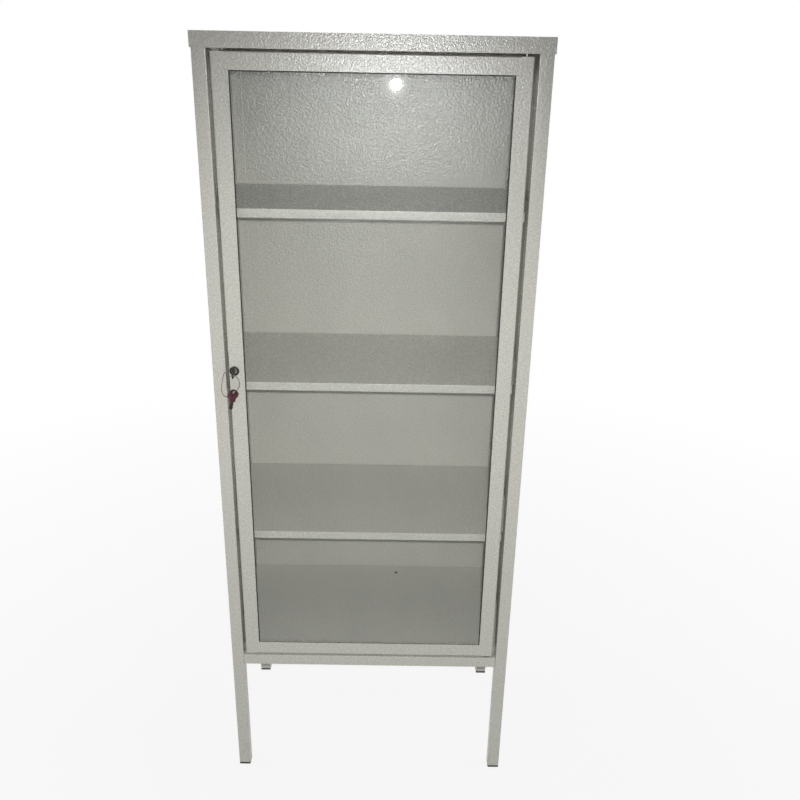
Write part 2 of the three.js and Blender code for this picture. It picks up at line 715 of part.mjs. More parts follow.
function lockPlug() {
  const rear = camFront - SEAT;
  const plug = rod(LOCK_PLUG, rear - plugFront, 'y').translate(0, (rear + plugFront) / 2, 0);
  const slotDepth = KEY_BLADE_LENGTH + RUNNING_GAP;
  const slotHeight = KEY_BLADE_HEIGHT + 2 * RUNNING_GAP;
  const keyway = block(KEY_SHEET + 2 * RUNNING_GAP, 2 * slotDepth, slotHeight).translate(0, plugFront, 0);
  const thread = rod(CAM_SCREW + 2 * RUNNING_GAP, 2 * (CAM_SCREW_DEPTH + RUNNING_GAP), 'y');
  return cut(plug, keyway, thread.translate(0, rear, 0));
}

addPiece(lock, 'lock_plug', lockPlug(), 'lock');

// Unlocked, the cam points up; a quarter turn takes it behind the upright.
function cam() {
  const half = CAM_WIDTH / 2;
  const shape = new THREE.Shape();
  shape.absarc(0, 0, half, 0.5 * Math.PI, 1.5 * Math.PI);
  shape.absarc(camReach - half, 0, half, -0.5 * Math.PI, 0.5 * Math.PI);
  shape.closePath();
  const screwHole = rod(CAM_SCREW + 2 * RUNNING_GAP, 2 * CAM_SHEET, 'y');
  return cut(sweep(shape, CAM_SHEET, 'y', BOW_STEPS), screwHole);
}

addPiece(lock, 'lock_cam', cam(), 'steel', [0, camFront + CAM_SHEET / 2, 0]);

const screwSeat = camFront + CAM_SHEET + SEAT;
const camScrew = turned([
  [0, camFront - SEAT - CAM_SCREW_DEPTH],
  [CAM_SCREW / 2, camFront - SEAT - CAM_SCREW_DEPTH],
  [CAM_SCREW / 2, screwSeat],
  [CAM_SCREW_HEAD / 2, screwSeat],
  [CAM_SCREW_HEAD / 2, screwSeat + CAM_SCREW_HEAD_HEIGHT],
  [0, screwSeat + CAM_SCREW_HEAD_HEIGHT],
]);
addPiece(lock, 'cam_screw', camScrew, 'steel');

// Keys: a flat plate drawn with its hole's centre at the origin and its bow upwards

const bowCentre = -KEY_HOLE_OFFSET;
const neckHalf = KEY_NECK_WIDTH / 2;
const neckTop = bowCentre - Math.sqrt(KEY_BOW_RADIUS ** 2 - neckHalf ** 2);
const shoulder = neckTop - KEY_NECK_LENGTH;

function keyPlate() {
  const bladeHalf = KEY_BLADE_HEIGHT / 2;
  const tip = shoulder - KEY_BLADE_LENGTH;
  const cutPitch = (KEY_BLADE_LENGTH - KEY_TIP) / (KEY_CUTS + 1);
  const shape = new THREE.Shape();
  shape.moveTo(-neckHalf, shoulder);
  shape.lineTo(-bladeHalf, shoulder);
  shape.lineTo(-bladeHalf, tip + KEY_TIP);
  shape.lineTo(-bladeHalf + KEY_TIP, tip);
  shape.lineTo(bladeHalf - KEY_TIP, tip);
  shape.lineTo(bladeHalf, tip + KEY_TIP);
  for (let i = 1; i <= KEY_CUTS; i += 1) {
    const middle = tip + KEY_TIP + i * cutPitch;
    shape.lineTo(bladeHalf, middle - KEY_CUT_DEPTH);
    shape.lineTo(bladeHalf - KEY_CUT_DEPTH, middle);
    shape.lineTo(bladeHalf, middle + KEY_CUT_DEPTH);
  }
  shape.lineTo(bladeHalf, shoulder);
  shape.lineTo(neckHalf, shoulder);
  const start = Math.atan2(neckTop - bowCentre, neckHalf);
  shape.absarc(0, bowCentre, KEY_BOW_RADIUS, start, Math.PI - start);
  shape.closePath();
  const hole = new THREE.Path();
  hole.absarc(0, 0, KEY_HOLE_RADIUS, 0, 2 * Math.PI);
  shape.holes.push(hole);
  return sweep(shape, KEY_SHEET, 'z', BOW_STEPS);
}

// The key in the lock lies along Y, bow towards the viewer.
const keyHoleY = keyShoulder + shoulder;
const intoLock = new THREE.Matrix4().makeBasis(Z_AXIS, Y_AXIS.clone().negate(), X_AXIS);
addPiece(lock, 'key', keyPlate().applyMatrix4(intoLock), 'lock', [0, keyHoleY, 0]);

// The wire ring hangs in the key's hole and carries the spare key.
const ringDrop = KEY_HOLE_RADIUS - RING_WIRE / 2 - RUNNING_GAP;
const keyRing = new THREE.Group();
keyRing.position.set(0, keyHoleY, -ringDrop);
lock.add(keyRing);

function ringWire() {
  const opening = RING_OPENING / (RING_WIDTH / 2);
  const points = Array.from({ length: RING_STEPS + 1 }, (_, i) => {
    const angle = opening / 2 + ((2 * Math.PI - opening) * i) / RING_STEPS;
    const x = -(RING_WIDTH / 2) * Math.cos(angle);
    const z = (RING_HEIGHT / 2) * Math.sin(angle) - RING_HEIGHT / 2;
    return new THREE.Vector3(x, 0, z);
  });
  return wire(points, RING_WIRE, RING_SIDES);
}

addPiece(keyRing, 'key_ring', ringWire(), 'steel');

const spare = new THREE.Group();
spare.position.set(0, 0, -RING_HEIGHT - SPARE_KEY_DROP);
spare.rotation.set(0, THREE.MathUtils.degToRad(SPARE_KEY_LEAN), THREE.MathUtils.degToRad(SPARE_KEY_TWIST), 'ZYX');
keyRing.add(spare);
addPiece(spare, 'spare_key', keyPlate().rotateX(Math.PI / 2), 'lock');

// Thread wound round the spare key's bow, its two ends turned in against the plate.
function threadLine() {
  const top = -KEY_HOLE_RADIUS - THREAD_BELOW_HOLE;
  const face = KEY_SHEET / 2 + THREAD_FACE_STANDOFF;
  const endY = KEY_SHEET / 2 + RUNNING_GAP;
  const straightY = endY + THREAD;
  const turnRadius = face - straightY;
  const turnSteps = THREAD_LOOP_STEPS / 4;
  const bowHalf = (z) => Math.sqrt(Math.max(KEY_BOW_RADIUS ** 2 - (z - bowCentre) ** 2, neckHalf ** 2));
  const line = [new THREE.Vector3(turnRadius, endY, top)];
  for (let i = 0; i < turnSteps; i += 1) {
    const angle = (0.5 * Math.PI * i) / turnSteps;
    const y = straightY + turnRadius * Math.sin(angle);
    line.push(new THREE.Vector3(turnRadius * Math.cos(angle), y, top));
  }
  for (let i = 0; i <= THREAD_LOOPS * THREAD_LOOP_STEPS; i += 1) {
    const angle = 0.5 * Math.PI + (2 * Math.PI * i) / THREAD_LOOP_STEPS;
    const z = top - (THREAD_PITCH * i) / THREAD_LOOP_STEPS;
    const x = (bowHalf(z) + THREAD_SIDE_STANDOFF) * Math.cos(angle);
    line.push(new THREE.Vector3(x, face * Math.sin(angle), z));
  }
  const bottom = top - THREAD_LOOPS * THREAD_PITCH;
  for (let i = 1; i <= turnSteps; i += 1) {
    const angle = 0.5 * Math.PI + (0.5 * Math.PI * i) / turnSteps;
    const y = straightY + turnRadius * Math.sin(angle);
    line.push(new THREE.Vector3(turnRadius * Math.cos(angle), y, bottom));
  }
  line.push(new THREE.Vector3(-turnRadius, endY, bottom));
  return line;
}

function leastGap(line, diameter) {
  let least = Infinity;
  const apart = THREAD_LOOP_STEPS / 2;
  line.forEach((point, i) => {
    line.slice(i + apart).forEach((other) => {
      least = Math.min(least, point.distanceTo(other) - diameter);
    });
  });
  return least;
}

const thread = threadLine();
console.log(`Least gap between the thread's turns: ${leastGap(thread, THREAD).toFixed(2)} mm`);
addPiece(spare, 'key_thread', wire(thread, THREAD, THREAD_SIDES), 'thread');

// The origin is at floor level, in the middle of the footprint.
cabinet.updateMatrixWorld(true);
const footprint = new THREE.Box3().setFromObject(cabinet, true);
cabinet.position.y = -(footprint.min.y + footprint.max.y) / 2;

export default cabinet;
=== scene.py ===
import math

import bmesh
import bpy
from mathutils import Matrix, Vector


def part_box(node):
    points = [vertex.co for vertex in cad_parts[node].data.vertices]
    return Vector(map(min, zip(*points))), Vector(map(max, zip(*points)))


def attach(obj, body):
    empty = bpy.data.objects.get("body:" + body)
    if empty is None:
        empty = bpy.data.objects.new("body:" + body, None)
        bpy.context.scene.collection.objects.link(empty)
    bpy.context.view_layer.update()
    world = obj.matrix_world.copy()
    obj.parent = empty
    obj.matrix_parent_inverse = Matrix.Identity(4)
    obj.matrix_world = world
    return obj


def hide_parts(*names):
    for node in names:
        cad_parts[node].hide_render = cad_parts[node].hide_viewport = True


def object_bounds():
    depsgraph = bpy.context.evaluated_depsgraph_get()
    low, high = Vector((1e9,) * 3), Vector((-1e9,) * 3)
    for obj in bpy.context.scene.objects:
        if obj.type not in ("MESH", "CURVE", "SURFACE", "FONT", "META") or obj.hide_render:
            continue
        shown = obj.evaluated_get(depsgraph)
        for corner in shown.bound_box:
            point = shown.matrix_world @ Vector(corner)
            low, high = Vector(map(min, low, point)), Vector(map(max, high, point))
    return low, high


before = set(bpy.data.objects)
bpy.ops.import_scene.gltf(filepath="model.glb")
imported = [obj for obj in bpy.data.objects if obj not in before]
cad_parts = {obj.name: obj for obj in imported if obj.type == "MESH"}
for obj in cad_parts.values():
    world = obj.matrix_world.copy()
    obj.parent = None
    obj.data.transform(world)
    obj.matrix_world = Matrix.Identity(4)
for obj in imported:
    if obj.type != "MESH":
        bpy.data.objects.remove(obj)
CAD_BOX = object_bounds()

bl_info = {
    "name": "Glass door medical cabinet",
    "version": (1, 0, 0),
    "blender": (4, 5, 0),
    "location": "3D View > Sidebar > Cabinet",
    "description": "Dresses a steel instrument cabinet with a glass door, its lock, keys and fasteners",
    "category": "Object",
}

# Nodes of each group of like pieces

FRAME_NODES = (
    "front_upright_left", "front_upright_right", "rear_leg_left", "rear_leg_right",
    "bottom_front_rail", "bottom_rear_rail", "bottom_side_rail_left", "bottom_side_rail_right",
    "top_front_rail", "door_stop",
)
PANEL_NODES = ("side_panel_left", "side_panel_right", "back_panel", "floor_panel", "top_cap")
SHELF_LEVELS = ("lower", "middle", "upper")
FOOT_NODES = ("foot_front_left", "foot_front_right", "foot_rear_left", "foot_rear_right")
DOOR_NODES = (
    "door_stile_lock", "door_stile_hinge", "door_rail_top", "door_rail_bottom",
    "pivot_block_lower", "pivot_block_upper", "stile_plate_lower", "stile_plate_upper",
    "glazing_bead_lock", "glazing_bead_hinge", "glazing_bead_bottom", "glazing_bead_top",
)
PIVOT_NODES = ("pivot_pin_lower", "pivot_pin_upper", "thrust_washer")


def length(name, description, default):
    return bpy.props.FloatProperty(
        name=name, description=description, default=default, min=0.0, precision=5, unit="LENGTH"
    )


def colour(name, description, default):
    return bpy.props.FloatVectorProperty(
        name=name, description=description, default=default, min=0.0, max=1.0, size=3, subtype="COLOR"
    )


class CabinetSizes(bpy.types.PropertyGroup):
    """Sizes of the details that the dressing adds"""

    tube_round: length("Tube edge", "Rounding of the square tubes' edges", 0.0008)
    sheet_round: length("Sheet edge", "Rounding of the folded sheets' edges", 0.0002)
    flange_round: length("Flange edge", "Rounding of the side panels' edges", 0.00005)
    small_round: length("Small edge", "Rounding of the lock, keys and pivots", 0.00025)
    bead_screw: length("Bead screw", "Head diameter of the screws in the glazing beads", 0.0058)
    rivet: length("Rivet", "Head diameter of the rivets in the panels and brackets", 0.0064)
    floor_plug: length("Floor plug", "Diameter of the plug in the floor's hole", 0.008)
    # The gasket's lip is a dark strip put where the opening's top and sides lie in shade: painted shade.
    painted_shade_lip: length("Gasket lip", "How far the gasket shows inside the door's opening", 0.002)
    weld: length("Weld", "Width of the ground welds at the door's corners", 0.003)
    ring_wire: length("Ring wire", "Thickness of the key ring's wire", 0.0014)
    thread: length("Thread", "Thickness of the wound thread over its strands", 0.00116)
    thread_twist: length("Thread twist", "Length of one full twist of the strands", 0.0045)


class CabinetFinish(bpy.types.PropertyGroup):
    """Colours of the finishes"""

    paint: colour("Paint", "Baked enamel on the sheet and tube", (0.555, 0.545, 0.49))
    foot: colour("Feet", "Moulded plastic of the leg caps", (0.018, 0.018, 0.017))
    zinc: colour("Zinc", "Plated steel of pins, ring and fasteners", (0.52, 0.52, 0.5))
    lock: colour("Lock", "Worn plate on the lock and the keys", (0.065, 0.059, 0.05))
    gasket: colour("Gasket", "Rubber strip round the pane", (0.022, 0.023, 0.022))
    glass: colour("Glass", "Tint of the pane", (0.972, 0.98, 0.974))
    thread_dark: colour("Thread", "Dark strands of the thread", (0.042, 0.005, 0.013))
    thread_light: colour("Thread light", "Faded strand of the thread", (0.25, 0.06, 0.1))


class CabinetStage(bpy.types.PropertyGroup):
    """Camera and lamps"""

    camera_place: bpy.props.FloatVectorProperty(
        name="Camera", description="Where the camera stands", default=(0.0447, -1.6612, 1.5217),
        size=3, subtype="XYZ", unit="LENGTH",
    )
    camera_pitch: bpy.props.FloatProperty(
        name="Pitch", description="How far the camera looks down", default=math.radians(21.977),
        subtype="ANGLE",
    )
    camera_yaw: bpy.props.FloatProperty(
        name="Yaw", description="Camera's turn about the vertical", default=math.radians(-0.409),
        subtype="ANGLE",
    )
    camera_roll: bpy.props.FloatProperty(
        name="Roll", description="Camera's roll", default=math.radians(1.098), subtype="ANGLE"
    )
    camera_lens: bpy.props.FloatProperty(
        name="Lens", description="Focal length in millimetres", default=37.98, min=1.0
    )
    lamp_power: bpy.props.FloatProperty(
        name="Front lamp", description="Power of the lamp above the lens", default=83.0, min=0.0,
        subtype="POWER",
    )
    glint_power: bpy.props.FloatProperty(
        name="Glint lamp", description="Power of the lamp that the glass mirrors", default=52.0, min=0.0,
        subtype="POWER",
    )
    side_power: bpy.props.FloatProperty(
        name="Side lamps", description="Power of each wide lamp at the sides, rear and top", default=11.0,
        min=0.0, subtype="POWER",
    )
    sky: bpy.props.FloatProperty(
        name="Sky", description="Strength of the even light from all round", default=0.28, min=0.0
    )


# Meshes

MERGE_GAP = 1e-6
HEAD_SIDES = 14
HEAD_CROWN = 0.42
HEAD_ROUND = 0.3
RECESS_RIM = 0.2
RECESS_DEPTH = 0.45


def place_piece(name, mesh, body, slot, *materials):
    piece = bpy.data.objects.new(name, mesh)
    bpy.context.scene.collection.objects.link(piece)
    for material in materials:
        mesh.materials.append(material)
    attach(piece, body)
    return piece


def finish_mesh(bm, name, sharp=math.radians(40)):
    bm.normal_update()
    for edge in bm.edges:
        edge.smooth = len(edge.link_faces) == 2 and edge.calc_face_angle(0.0) < sharp
    for face in bm.faces:
        face.smooth = True
    mesh = bpy.data.meshes.new(name)
    bm.to_mesh(mesh)
    bm.free()
    return mesh


def round_edges(bm, width, segments=2, least=math.radians(25)):
    edges = [e for e in bm.edges if len(e.link_faces) == 2 and e.calc_face_angle(0.0) > least]
    bmesh.ops.bevel(
        bm, geom=edges, offset=width, offset_type="OFFSET", segments=segments, profile=0.5,
        affect="EDGES", clamp_overlap=True, material=-1,
    )


def dress(node, body, slot, material, width, segments=2):
    """A copy of a solid with its edges softened, which stands for it."""
    bm = bmesh.new()
    bm.from_mesh(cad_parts[node].data)
    bmesh.ops.remove_doubles(bm, verts=bm.verts, dist=MERGE_GAP)
    bmesh.ops.dissolve_limit(bm, angle_limit=math.radians(1), verts=bm.verts, edges=bm.edges)
    round_edges(bm, width, segments)
    name = f"{node}_dressed"
    piece = place_piece(name, finish_mesh(bm, name), body, slot, material)
    weights = piece.modifiers.new("face weights", "WEIGHTED_NORMAL")
    weights.keep_sharp = True
    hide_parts(node)
    return piece


def spin_profile(bm, profile, steps=48):
    """Turns [radius, distance] points about the Y axis."""
    verts = [bm.verts.new((radius, distance, 0.0)) for radius, distance in profile]
    edges = [bm.edges.new(pair) for pair in zip(verts, verts[1:])]
    bmesh.ops.spin(
        bm, geom=verts + edges, cent=(0, 0, 0), axis=(0, 1, 0), angle=2 * math.pi, steps=steps,
        use_merge=True,
    )
    bmesh.ops.remove_doubles(bm, verts=bm.verts, dist=MERGE_GAP)
    bmesh.ops.recalc_face_normals(bm, faces=bm.faces)


def add_head(bm, place, outward, diameter, height, recess):
    """A fastener's domed head that stands on a face, with a round driving recess or none."""
    turn = Vector((0, 0, 1)).rotation_difference(Vector(outward)).to_matrix().to_4x4()
    made = bmesh.ops.create_cone(
        bm, cap_ends=True, segments=HEAD_SIDES, radius1=diameter / 2, radius2=HEAD_CROWN * diameter,
        depth=height,
        matrix=Matrix.Translation((0, 0, height / 2)),
    )
    verts = made["verts"]
    faces = {f for v in verts for f in v.link_faces}
    top = [f for f in faces if f.calc_center_median().z > 0.9 * height]
    rim = bmesh.ops.bevel(
        bm, geom=list(top[0].edges), offset=HEAD_ROUND * height, offset_type="OFFSET", segments=2,
        profile=0.5, affect="EDGES", clamp_overlap=True, material=-1,
    )
    verts = list({v for v in verts if v.is_valid} | {v for v in rim["verts"] if v.is_valid})
    if recess:
        faces = {f for v in verts for f in v.link_faces}
        crown = max(faces, key=lambda f: (round(f.calc_center_median().z, 7), f.calc_area()))
        bmesh.ops.inset_region(bm, faces=[crown], thickness=RECESS_RIM * diameter, use_even_offset=True)
        bmesh.ops.translate(bm, verts=crown.verts, vec=(0, 0, -RECESS_DEPTH * height))
        verts = list(set(verts) | set(crown.verts))
    linked = set(verts)
    for vert in verts:
        linked |= {v for f in vert.link_faces for v in f.verts}
    bmesh.ops.transform(bm, matrix=Matrix.Translation(place) @ turn, verts=list(linked))


def wire_mesh(points, radius):
    """A round wire through the points."""
    data = bpy.data.curves.new("wire", "CURVE")
    data.dimensions = "3D"
    data.bevel_depth = radius
    data.bevel_resolution = 2
    data.use_fill_caps = True
    spline = data.splines.new("POLY")
    spline.points.add(len(points) - 1)
    for spot, point in zip(spline.points, points):
        spot.co = (*point, 1.0)
    carrier = bpy.data.objects.new("wire", data)
    mesh = bpy.data.meshes.new_from_object(carrier)
    bpy.data.objects.remove(carrier)
    bpy.data.curves.remove(data)
    return mesh


# Materials


class Finish:
    """A material under construction: its nodes, links and Principled shader."""

    def __init__(self, name):
        self.material = bpy.data.materials.new(name)
        self.material.use_nodes = True
        self.tree = self.material.node_tree
        self.shader = self.tree.nodes["Principled BSDF"]
        self.place = self.add("ShaderNodeTexCoord").outputs["Object"]

    def add(self, kind, **values):
        node = self.tree.nodes.new(kind)
        for key, value in values.items():
            setattr(node, key, value)
        return node

    def link(self, source, target):
        self.tree.links.new(source, target)

    def noise(self, scale, detail=2.0, roughness=0.5, stretch=None):
        node = self.add("ShaderNodeTexNoise")
        node.inputs["Scale"].default_value = scale
        node.inputs["Detail"].default_value = detail
        node.inputs["Roughness"].default_value = roughness
        source = self.place
        if stretch:
            mapping = self.add("ShaderNodeMapping")
            mapping.inputs["Scale"].default_value = stretch
            self.link(source, mapping.inputs["Vector"])
            source = mapping.outputs["Vector"]
        self.link(source, node.inputs["Vector"])
        return node.outputs["Fac"]

    def spread(self, source, low, high, from_low=0.3, from_high=0.7):
        node = self.add("ShaderNodeMapRange")
        node.inputs["From Min"].default_value = from_low
        node.inputs["From Max"].default_value = from_high
        node.inputs["To Min"].default_value = low
        node.inputs["To Max"].default_value = high
        self.link(source, node.inputs["Value"])
        return node.outputs["Result"]

    def ramp(self, source, dark, light, low=0.3, high=0.7):
        node = self.add("ShaderNodeValToRGB")
        node.color_ramp.elements[0].position = low
        node.color_ramp.elements[1].position = high
        node.color_ramp.elements[0].color = (*dark, 1.0)
        node.color_ramp.elements[1].color = (*light, 1.0)
        self.link(source, node.inputs["Fac"])
        return node.outputs["Color"]

    def mix(self, factor, a, b):
        node = self.add("ShaderNodeMix", data_type="RGBA")
        if isinstance(factor, float):
            node.inputs["Factor"].default_value = factor
        else:
            self.link(factor, node.inputs["Factor"])
        for source, socket in ((a, node.inputs[6]), (b, node.inputs[7])):
            if isinstance(source, tuple):
                socket.default_value = (*source, 1.0)
            else:
                self.link(source, socket)
        return node.outputs[2]

    def bump(self, heights, strength, distance):
        normal = None
        for height, share in heights:
            node = self.add("ShaderNodeBump")
            node.inputs["Strength"].default_value = strength * share
            node.inputs["Distance"].default_value = distance
            self.link(height, node.inputs["Height"])
            if normal:
                self.link(normal, node.inputs["Normal"])
            normal = node.outputs["Normal"]
        self.link(normal, self.shader.inputs["Normal"])

    def set(self, **values):
        for key, value in values.items():
            self.shader.inputs[key.replace("_", " ")].default_value = value


def scaled(shade, factor):
    return tuple(min(1.0, channel * factor) for channel in shade)


def make_paint(name, shade, grain_scale, depth, polish, gloss):
    """Baked enamel with a hammered grain, faint stains, scuffs low on the legs and a speckled tone that
    is partly painted sparkle.
    """
    f = Finish(name)
    grain = f.noise(grain_scale, 2.0, 0.5)
    ripple = f.noise(120, 2.0, 0.5)
    cloud = f.noise(5, 3.0, 0.6)
    # The flecks give the enamel a speckled tone and also stand in for its sparkle: painted glints.
    sparkle_speckle = f.noise(330, 1.0, 0.5)
    base = f.ramp(cloud, scaled(shade, 0.955), scaled(shade, 1.03))
    speckle_and_painted_sparkle = f.ramp(sparkle_speckle, scaled(shade, 0.72), scaled(shade, 1.22), 0.34, 0.66)
    body = f.mix(0.45, base, speckle_and_painted_sparkle)
    height = f.add("ShaderNodeSeparateXYZ")
    f.link(f.place, height.inputs["Vector"])
    low = f.spread(height.outputs["Z"], 1.0, 0.0, 0.01, 0.16)
    rubbed = f.spread(f.noise(38, 4.0, 0.7), 0.0, 0.55, 0.55, 0.75)
    share = f.add("ShaderNodeMath", operation="MULTIPLY")
    f.link(low, share.inputs[0])
    f.link(rubbed, share.inputs[1])
    f.link(f.mix(share.outputs[0], body, scaled(shade, 0.5)), f.shader.inputs["Base Color"])
    f.link(f.spread(grain, polish, polish + 0.1), f.shader.inputs["Roughness"])
    f.bump(((ripple, 0.3), (grain, 1.0)), depth, 0.001)
    f.set(Specular_IOR_Level=gloss)
    return f.material


def make_plastic(shade):
    """Black moulded plastic with a fine spark texture and grey scuffs."""
    f = Finish("foot_plastic")
    spark = f.noise(1500, 2.0)
    scuff = f.spread(f.noise(120, 4.0, 0.7), 0.0, 0.5, 0.56, 0.75)
    f.link(f.mix(scuff, shade, scaled(shade, 3.2)), f.shader.inputs["Base Color"])
    f.link(f.spread(spark, 0.45, 0.65), f.shader.inputs["Roughness"])
    f.bump(((spark, 1.0),), 0.2, 0.0002)
    return f.material


def make_rubber(shade):
    f = Finish("gasket_rubber")
    skin = f.noise(900, 2.0)
    dust = f.noise(40, 3.0, 0.6)
    f.link(f.ramp(dust, shade, scaled(shade, 1.9)), f.shader.inputs["Base Color"])
    f.link(f.spread(skin, 0.65, 0.85), f.shader.inputs["Roughness"])
    f.bump(((skin, 1.0),), 0.15, 0.0002)
    return f.material


def make_metal(name, shade, polish, stretch, tarnish):
    """Plated steel with fine tool lines and dull patches."""
    f = Finish(name)
    lines = f.noise(600, 2.0, 0.5, stretch)
    patch = f.noise(130, 4.0, 0.65)
    f.link(f.ramp(patch, scaled(shade, tarnish), scaled(shade, 1.12)), f.shader.inputs["Base Color"])
    f.link(f.spread(lines, polish, polish + 0.18), f.shader.inputs["Roughness"])
    f.bump(((lines, 1.0),), 0.08, 0.0001)
    f.set(Metallic=1.0)
    return f.material


def make_glass(tint):
    """Clear float glass with faint wipe marks. Light for the inside passes straight through it."""
    f = Finish("float_glass")
    wipe = f.noise(9, 4.0, 0.6, (1.0, 1.0, 0.35))
    f.link(f.ramp(wipe, scaled(tint, 0.97), tint, 0.35, 0.6), f.shader.inputs["Base Color"])
    f.set(Roughness=0.0, Transmission_Weight=1.0, IOR=1.45)
    clear = f.add("ShaderNodeBsdfTransparent")
    clear.inputs["Color"].default_value = (*scaled(tint, 0.96), 1.0)
    path = f.add("ShaderNodeLightPath")
    share = f.add("ShaderNodeMixShader")
    passing = f.add("ShaderNodeMath", operation="MAXIMUM")
    f.link(path.outputs["Is Shadow Ray"], passing.inputs[0])
    f.link(path.outputs["Is Diffuse Ray"], passing.inputs[1])
    f.link(passing.outputs[0], share.inputs["Fac"])
    f.link(f.shader.outputs["BSDF"], share.inputs[1])
    f.link(clear.outputs["BSDF"], share.inputs[2])
    f.link(share.outputs["Shader"], f.tree.nodes["Material Output"].inputs["Surface"])
    return f.material


def make_thread(name, shade):
    """Spun thread with stray lighter fibres."""
    f = Finish(name)
    fibre = f.noise(2600, 3.0, 0.6)
    worn = f.noise(420, 2.0)
    body = f.ramp(worn, scaled(shade, 0.7), scaled(shade, 1.25))
    stray = f.spread(fibre, 0.0, 0.35, 0.5, 0.75)
    f.link(f.mix(stray, body, scaled(shade, 2.1)), f.shader.inputs["Base Color"])
    f.bump(((fibre, 1.0),), 0.6, 0.0002)
    f.set(Roughness=0.85, Sheen_Weight=0.15)
    return f.material


_made = {}


def material(name):
    """Each finish is made once, from the colours in the panel."""
    if name not in _made:
        finish = bpy.context.scene.cabinet_finish
        paint, zinc = tuple(finish.paint), tuple(finish.zinc)
        along_z, along_y = (1.0, 1.0, 0.15), (1.0, 0.2, 1.0)
        makers = {
            "paint": lambda: make_paint("hammered_enamel", paint, 350, 0.52, 0.22, 0.62),
            "panel_paint": lambda: make_paint("hammered_panel_enamel", paint, 285, 0.85, 0.17, 0.7),
            "plastic": lambda: make_plastic(tuple(finish.foot)),
            "rubber": lambda: make_rubber(tuple(finish.gasket)),
            "zinc": lambda: make_metal("zinc_plate", zinc, 0.28, along_z, 0.82),
            "wire": lambda: make_metal("drawn_wire", scaled(zinc, 0.42), 0.3, along_z, 0.7),
            "plug": lambda: make_metal("bright_nickel", scaled(zinc, 0.7), 0.26, along_y, 0.75),
            "lock": lambda: make_metal("worn_nickel", tuple(finish.lock), 0.3, along_y, 0.6),
            "glass": lambda: make_glass(tuple(finish.glass)),
            "thread": lambda: make_thread("dark_thread", tuple(finish.thread_dark)),
            "thread_light": lambda: make_thread("faded_thread", tuple(finish.thread_light)),
        }
        _made[name] = makers[name]()
    return _made[name]


# Operators


class CABINET_OT_frame_members(bpy.types.Operator):
    """Uprights, rear legs, base rails, top rail and door stop"""

    bl_idname = "cabinet.frame_members"
    bl_label = "Frame members"

    def execute(self, context):
        sizes = context.scene.cabinet_sizes
        for node in FRAME_NODES:
            width = sizes.sheet_round if node == "door_stop" else sizes.tube_round
            dress(node, "cabinet", "paint", material("paint"), width)
        return {"FINISHED"}


class CABINET_OT_panels(bpy.types.Operator):
    """Side panels, back panel, floor and top cap"""

    bl_idname = "cabinet.panels"
    bl_label = "Panels"

    def execute(self, context):
        sizes = context.scene.cabinet_sizes
        for node in PANEL_NODES:
            width = sizes.flange_round if node.startswith("side_panel") else sizes.sheet_round
            enamel = material("paint") if node == "top_cap" else material("panel_paint")
            dress(node, "cabinet", "paint", enamel, width)
        return {"FINISHED"}


class CABINET_OT_shelves(bpy.types.Operator):
    """Shelves and the angles under them"""

    bl_idname = "cabinet.shelves"
    bl_label = "Shelves"

    def execute(self, context):
        width = context.scene.cabinet_sizes.sheet_round
        for level in SHELF_LEVELS:
            for kind in ("shelf", "shelf_bracket_left", "shelf_bracket_right"):
                dress(f"{kind}_{level}", "cabinet", "paint", material("paint"), width)
        return {"FINISHED"}


class CABINET_OT_feet(bpy.types.Operator):
    """Moulded caps under the legs"""

    bl_idname = "cabinet.feet"
    bl_label = "Feet"

    def execute(self, context):
        width = context.scene.cabinet_sizes.tube_round
        for node in FOOT_NODES:
            dress(node, "cabinet", "foot_plastic", material("plastic"), width, 3)
        return {"FINISHED"}


WELD_PROUD = 0.00005
WELD_LIFT = 0.00001
WELD_ROOT = 0.0006
WELD_SHORT = 0.0008


class CABINET_OT_door_frame(bpy.types.Operator):
    """Door stiles and rails, their end pieces and the glazing beads"""

    bl_idname = "cabinet.door_frame"
    bl_label = "Door frame"

    def execute(self, context):
        for node in DOOR_NODES:
            dress(node, "door", "paint", material("paint"), context.scene.cabinet_sizes.sheet_round)
        self.welds(context.scene.cabinet_sizes.weld)
        return {"FINISHED"}

    def welds(self, width):
        """Flat ground welds over the joints between stiles and rails, on the door's front."""
        bm = bmesh.new()
        for rail in ("door_rail_top", "door_rail_bottom"):
            low, high = (Vector(corner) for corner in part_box(rail))
            for x in (low.x, high.x):
                made = bmesh.ops.create_grid(bm, x_segments=6, y_segments=12, size=0.5)
                for vert in made["verts"]:
                    fade = min(1.0, 6 * (0.5 - abs(vert.co.y)))
                    crown = WELD_PROUD * math.cos(math.pi * vert.co.x) * fade
                    z = (low.z + high.z) / 2 + vert.co.y * (high.z - low.z - WELD_SHORT)
                    vert.co = (x + vert.co.x * width, low.y - WELD_LIFT - crown, z)
                faces = list({face for vert in made["verts"] for face in vert.link_faces})
                grown = bmesh.ops.extrude_face_region(bm, geom=faces, use_keep_orig=True)
                root = [item for item in grown["geom"] if isinstance(item, bmesh.types.BMVert)]
                bmesh.ops.translate(bm, verts=root, vec=(0, WELD_ROOT, 0))
        bmesh.ops.recalc_face_normals(bm, faces=bm.faces)
        place_piece("door_welds", finish_mesh(bm, "door_welds"), "door", "paint", material("paint"))


